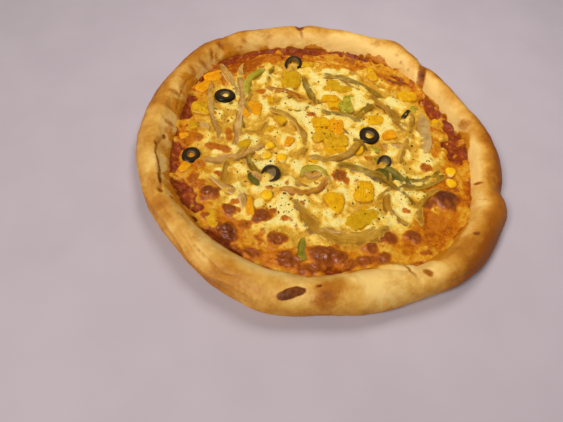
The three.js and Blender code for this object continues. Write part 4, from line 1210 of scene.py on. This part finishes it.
def crept(top):
    # The cheese climbs where the blurred map of the toppings is high. Where a cloud is high, it runs
    # over them as a film on their blurred tops.
    near = soften(covered, creep["reach"])
    uneven = cloud(2.4, 31)
    top = top + creep["rise"] * smooth(near, 0.02, 0.85) * (0.8 + 0.25 * uneven)
    over = soften(toppingTop * covered, 1) / (soften(covered, 1) + 0.02)
    film = smooth(cloud(3.6, 32) + 0.4 * uneven, 1.7, 2.4) * smooth(near, 0.3, 0.8)
    film *= 1 - smooth(over - top, 2.2, 3.4)
    return top * (1 - film) + np.maximum(top, over + creep["cover"]) * film, near


def pressed(top):
    # Inside an olive's wall the cheese only comes as high as its share of the olive's height, and it
    # falls off as the fourth power of the way from where it has run over one.
    for node, room in creep["holes"].items():
        (x, y, z), (wide, deep, tall) = boxOf(node)
        inside = np.hypot((mapX - x) / wide, (mapY - y) / deep) * 2
        level = z + tall * (room - 0.5) + 4 * np.clip(inside - 0.72, 0, 1)
        top = np.where(inside < 0.9, np.minimum(top, level), top)
    uneven = cloud(1.6, 33)
    for node, aside, ahead, wide, room in creep["over"]:
        (x, y, z), size = boxOf(node)
        far = np.hypot(mapX - x - aside, mapY - y - ahead) / wide
        level = z + size[2] * (room - 0.5) + 0.25 * uneven - 2.4 * (far + 0.1 * uneven) ** 4
        top = np.where(far < 1.3, np.maximum(top, level), top)
    return top


# how near each cell is to a topping; the cheese's finish paints shade beside them by it
cheeseTop, shadeBesideToppings = crept(cheeseTop)
cheeseTop = pressed(cheeseTop)

for name, skins, finish, slot, nodes in toppings:
    for skin in skins:
        x, y, z = np.moveaxis(skin["points"], -1, 0)
        skin["values"]["sunk"] = 1 - smooth(z - readMap(cheeseTop, x, y), -0.1, 0.55)
        skin["values"]["curd"] = readMap(cheeseCurd, x, y)
    addPiece(name, skins, finish, nodes)
print("toppings made")


def polarSkin(field, rings, bottom, values):
    # rings from near the middle out to under the crust, at the map's heights, closed by a flat underside
    radians = np.radians(bearings)
    radius = np.outer(rings, toeRadius + layout["underRim"])
    x, y = radius * np.cos(radians), radius * np.sin(radians)
    top, low = (np.stack([x, y, z], -1) for z in (readMap(field, x, y), np.full_like(x, bottom)))
    under = [-1, len(rings) // 2, 0]
    read = {key: readMap(value, x, y) for key, value in values.items()}
    read = {key: np.concatenate([value, value[under]]) for key, value in read.items()}
    return {"points": np.concatenate([top, low[under]]), "values": read}


def cheeseFinish():
    # the cheese's colour under oil, sauce and toast in steps from light to dark, and shinier where oily
    finish, palette = newFinish("meltedCheese", 0.3, (0.2, 2, 1.3, 0.5), 0.22)
    browned, oil, thin, beside = attributes(palette, "browned", "oil", "thin", "beside")
    (mottle, fleck), fine = cheeseGrains(palette), grain(palette, 0.7, 3, 0.6)
    cells, blots = bubbles(palette, 2.4), grain(palette, 3.2, 3, 0.4)
    orange = oil + mottle.off(0.7) + (fleck.off(1.1) + blots.off(1.3)) * oil.between(0.1, 0.6)
    red = thin + fleck.off(0.8) + mottle.off(0.6)
    toast = browned + fleck.off(0.45) * browned.between(0.02, 0.3) - (cells - 0.4) * 0.15
    colour = layered(
        # deeper gold beside the toppings, painted shade round them
        cheeseColour(palette, mottle, fleck, beside * 0.45 - 0.03),
        (orange.between(0.2, 0.6) * 0.9, (218, 146, 20)), (orange.between(0.5, 0.95) * 0.9, (200, 112, 6)),
        (orange.between(0.95, 1.4) * 0.9, (162, 74, 6)), (red.between(0.5, 1.1), (160, 70, 10)),
        (toast.between(0.1, 0.4), (204, 116, 16)), (toast.between(0.36, 0.7), (156, 78, 18)),
        (toast.between(0.7, 1.02), (108, 50, 20)))
    rough = 0.36 - orange.between(0.2, 0.8) * 0.12 - toast.between(0.4, 0.8) * 0.08 + fine.off(0.2)
    height = mottle * 0.3 + fleck * 0.5 + fine * 0.3 - cells * 0.35 * orange.between(0.2, 0.7)
    return dress(finish, colour, rough, height, 1.4, 0.8, toast.between(0.3, 0.8) * 0.35)


def sauceFinish():
    # two dark reds in blots, browner at the rim, with spots of orange oil
    finish, palette = newFinish("cookedSauce", 0.35)
    mottle, fleck = grain(palette, 5, 4), grain(palette, 1.5, 3)
    burnt = attributes(palette, "burnt")[0] + fleck.off(0.6) + mottle.off(0.5)
    colour = (mottle + fleck.off(0.6)).between(0.3, 0.75).mix((154, 64, 24), (104, 37, 12))
    colour = layered(colour, (burnt.between(0.4, 1), (142, 70, 14)),
                     (grain(palette, 4, 3, 0.6).between(0.52, 0.68) * 0.85, (192, 102, 22)))
    return dress(finish, colour, 0.24 + fleck * 0.3, mottle * 0.4 + fleck * 0.6, 1.3, 0.8)


sauce = {
    "underside": 1.9,  # mm that its underside lies below its top
    "lumps": 0.48,
    "grains": 0.2,
    "climb": 2.4,  # mm that it stands up against the crust
    "rings": 62,
}


def addLayers():
    # The cheese comes from its maps. The sauce is lumps and grains that fade in away from the rim,
    # and it climbs the rim where it is bare.
    inner, outer = cheese["rings"]
    rings = np.concatenate([np.linspace(0.02, 0.6, inner), np.linspace(0.6, 1, outer)[1:]])
    values = {"browned": cheeseBrowned, "oil": cheeseOil, "thin": cheeseThin, "curd": cheeseCurd,
              "beside": shadeBesideToppings}
    skin = polarSkin(cheeseTop, rings, sauceTop - cheese["underside"], values)
    addPiece("meltedCheese", [skin], cheeseFinish(), ["cheese"])
    top = sauce["lumps"] * cloud(1.7, 41) + sauce["grains"] * cloud(0.8, 42)
    top = sauceTop - 0.1 + top * smooth(toToe, -0.5, 2.5)
    climb = smooth(0.5 * cloud(2.4, 43) - toToe, -3, 1.6) * np.clip(0.3 + sauceBare, 0, 1)
    rings = np.concatenate([[0.1, 0.3, 0.5], np.linspace(0.6, 1, sauce["rings"])])
    values = {"burnt": 1 - smooth(toToe, -2.2, 0.2)}
    skin = polarSkin(top + sauce["climb"] * climb, rings, sauceTop - sauce["underside"], values)
    addPiece("tomatoSauce", [skin], sauceFinish(), ["sauce"])


addLayers()
print("cheese and sauce made")

herbs = {
    "flakes": 560,
    "sizes": (0.25, 1.7),  # mm, half lengths
    "spread": (106, 0.86),  # mm from the middle, and the part of that circle's area that they fall on
    "faces": (0.1, -0.2),  # mm from the middle of a flake's thickness to its two sides
    # where more of them fell: bearing, share, reach in mm, part of all
    "clusters": [(-111, 0.6, 12, 0.05), (166, 0.67, 11, 0.06), (-50, 0.55, 14, 0.06), (-73, 0.34, 12, 0.03),
                 (22, 0.09, 12, 0.03), (-25, 0.6, 14, 0.06), (30, 0.45, 18, 0.04), (-150, 0.5, 16, 0.04)],
}


def flakeFinish():
    # two dull greens in blots
    finish, palette = newFinish("driedHerbs")
    colour = grain(palette, 2, 2).between(0.35, 0.65).mix((92, 68, 14), (136, 102, 24))
    return dress(finish, colour, 0.7, grain(palette, 0.4, 2), 0.1, 0.5)


def addHerbs():
    # A flake is a bent six-sided leaf, a little thick: two rings of corners and two tips.
    rng = np.random.default_rng(77)
    count = herbs["flakes"]
    wide = np.sqrt(rng.uniform(0, herbs["spread"][1], count)) * herbs["spread"][0]
    spot = rng.uniform(0, math.tau, count)
    middle = wide[:, None] * np.stack([np.cos(spot), np.sin(spot)], -1)
    first = 0
    for bearing, share, reach, part in herbs["clusters"]:
        last = first + int(part * count)
        middle[first:last] = placeAt(bearing, share) + rng.normal(size=(last - first, 2)) * reach * 0.6
        first = last
    low, high = herbs["sizes"]
    length = low + (high - low) * rng.beta(1.2, 3.6, count)
    breadth = length * rng.uniform(0.3, 0.9, count)
    turn, slope = rng.uniform(0, math.tau, (count, 1)), rng.normal(0, 0.25, (count, 2))
    reach = rng.uniform(0.75, 1.2, (count, 6))
    u, v = length[:, None] * np.cos(around(6)) * reach, breadth[:, None] * np.sin(around(6)) * reach
    x = middle[:, :1] + u * np.cos(turn) - v * np.sin(turn)
    y = middle[:, 1:] + u * np.sin(turn) + v * np.cos(turn)
    ground = np.maximum(readMap(cheeseTop, x, y), readMap(soften(toppingTop, 0.3), x, y)).mean(1)
    z = ground[:, None] + 0.12 + slope[:, :1] * u * 0.5 + slope[:, 1:] * v * 0.5
    sheets = np.stack([np.stack([x, y, z + lift], -1) for lift in herbs["faces"]], 1)
    addPiece("herbFlakes", [{"points": leaf} for leaf in sheets], flakeFinish())


addHerbs()
print("herbs strewn")

stage = {
    "floor": ((196, 183, 190), (202, 189, 196)),  # the two colours that it is mottled in
    "half": 3,  # metres, half the floor's width
    "world": 0.1,  # strength of the light from all round
    # name, place and width in metres, power in watts and colour of each lamp
    "lamps": [
        ("window", (-1.2, -1.05, 1.8), 0.7, 37, (1, 0.97, 0.93)),
        ("ceiling", (0.1, 0.16, 0.5), 0.25, 1.35, (1, 0.98, 0.96)),
    ],
}

camera = {
    "aim": (-0.025, -0.063, 0.0),  # metres from the middle of the base
    "distance": 0.2996,  # metres from there
    "elevation": 56.92,  # degrees above level
    "roll": 3.355,  # degrees
    "view": 69.0,  # degrees across
    "sensor": 36,  # mm
}


def addStage():
    # a square floor just under the dough
    finish, palette = newFinish("paleFloor")
    dress(finish, grain(palette, 60, 2).between(0.2, 0.8).mix(*stage["floor"]), 0.6)
    mesh = bpy.data.meshes.new("floor")
    x = y = stage["half"]
    level = -0.0003  # just under the dough
    mesh.from_pydata([(-x, -y, level), (x, -y, level), (x, y, level), (-x, y, level)], [], [(0, 1, 2, 3)])
    mesh.materials.append(finish)
    floor = placed("floor", mesh)


def addCamera():
    # it stands back from the aim by its distance, along a line at its elevation, and looks down it
    data = bpy.data.cameras.new("camera")
    data.sensor_width = camera["sensor"]
    data.lens = camera["sensor"] / 2 / math.tan(math.radians(camera["view"] / 2))
    data.clip_start = 0.01
    eye = placed("camera", data)
    elevation, roll = math.radians(camera["elevation"]), math.radians(camera["roll"])
    eye.rotation_mode = "QUATERNION"
    back = Vector((0, -math.cos(elevation), math.sin(elevation)))
    turned = Matrix.Rotation(math.pi / 2 - elevation, 4, "X") @ Matrix.Rotation(roll, 4, "Z")
    eye.matrix_world = Matrix.Translation(Vector(camera["aim"]) + back * camera["distance"]) @ turned
    bpy.context.scene.camera = eye


def addLamp(name, place, size, power, colour):
    # a round lamp turned towards the middle of the base
    data = bpy.data.lights.new(name, "AREA")
    data.shape = "DISK"
    data.size, data.energy, data.color = size, power, colour
    lamp = placed(name, data)
    lamp.location = place
    lamp.rotation_mode = "QUATERNION"
    lamp.rotation_quaternion = (-Vector(place)).to_track_quat("-Z", "Y")
    lamp.visible_glossy = name == "window"  # the ceiling only fills the shadows


def addWorld():
    # even light from all round
    world = bpy.data.worlds.new("studio")
    bpy.context.scene.world = world
    world.use_nodes = True
    sky = world.node_tree.nodes["Background"]
    sky.inputs["Color"].default_value = (1, 0.98, 0.97, 1)
    sky.inputs["Strength"].default_value = stage["world"]
    bpy.context.scene.view_settings.view_transform = "Standard"


addStage()
addCamera()
for lamp in stage["lamps"]:
    addLamp(*lamp)
addWorld()
print("stage made")
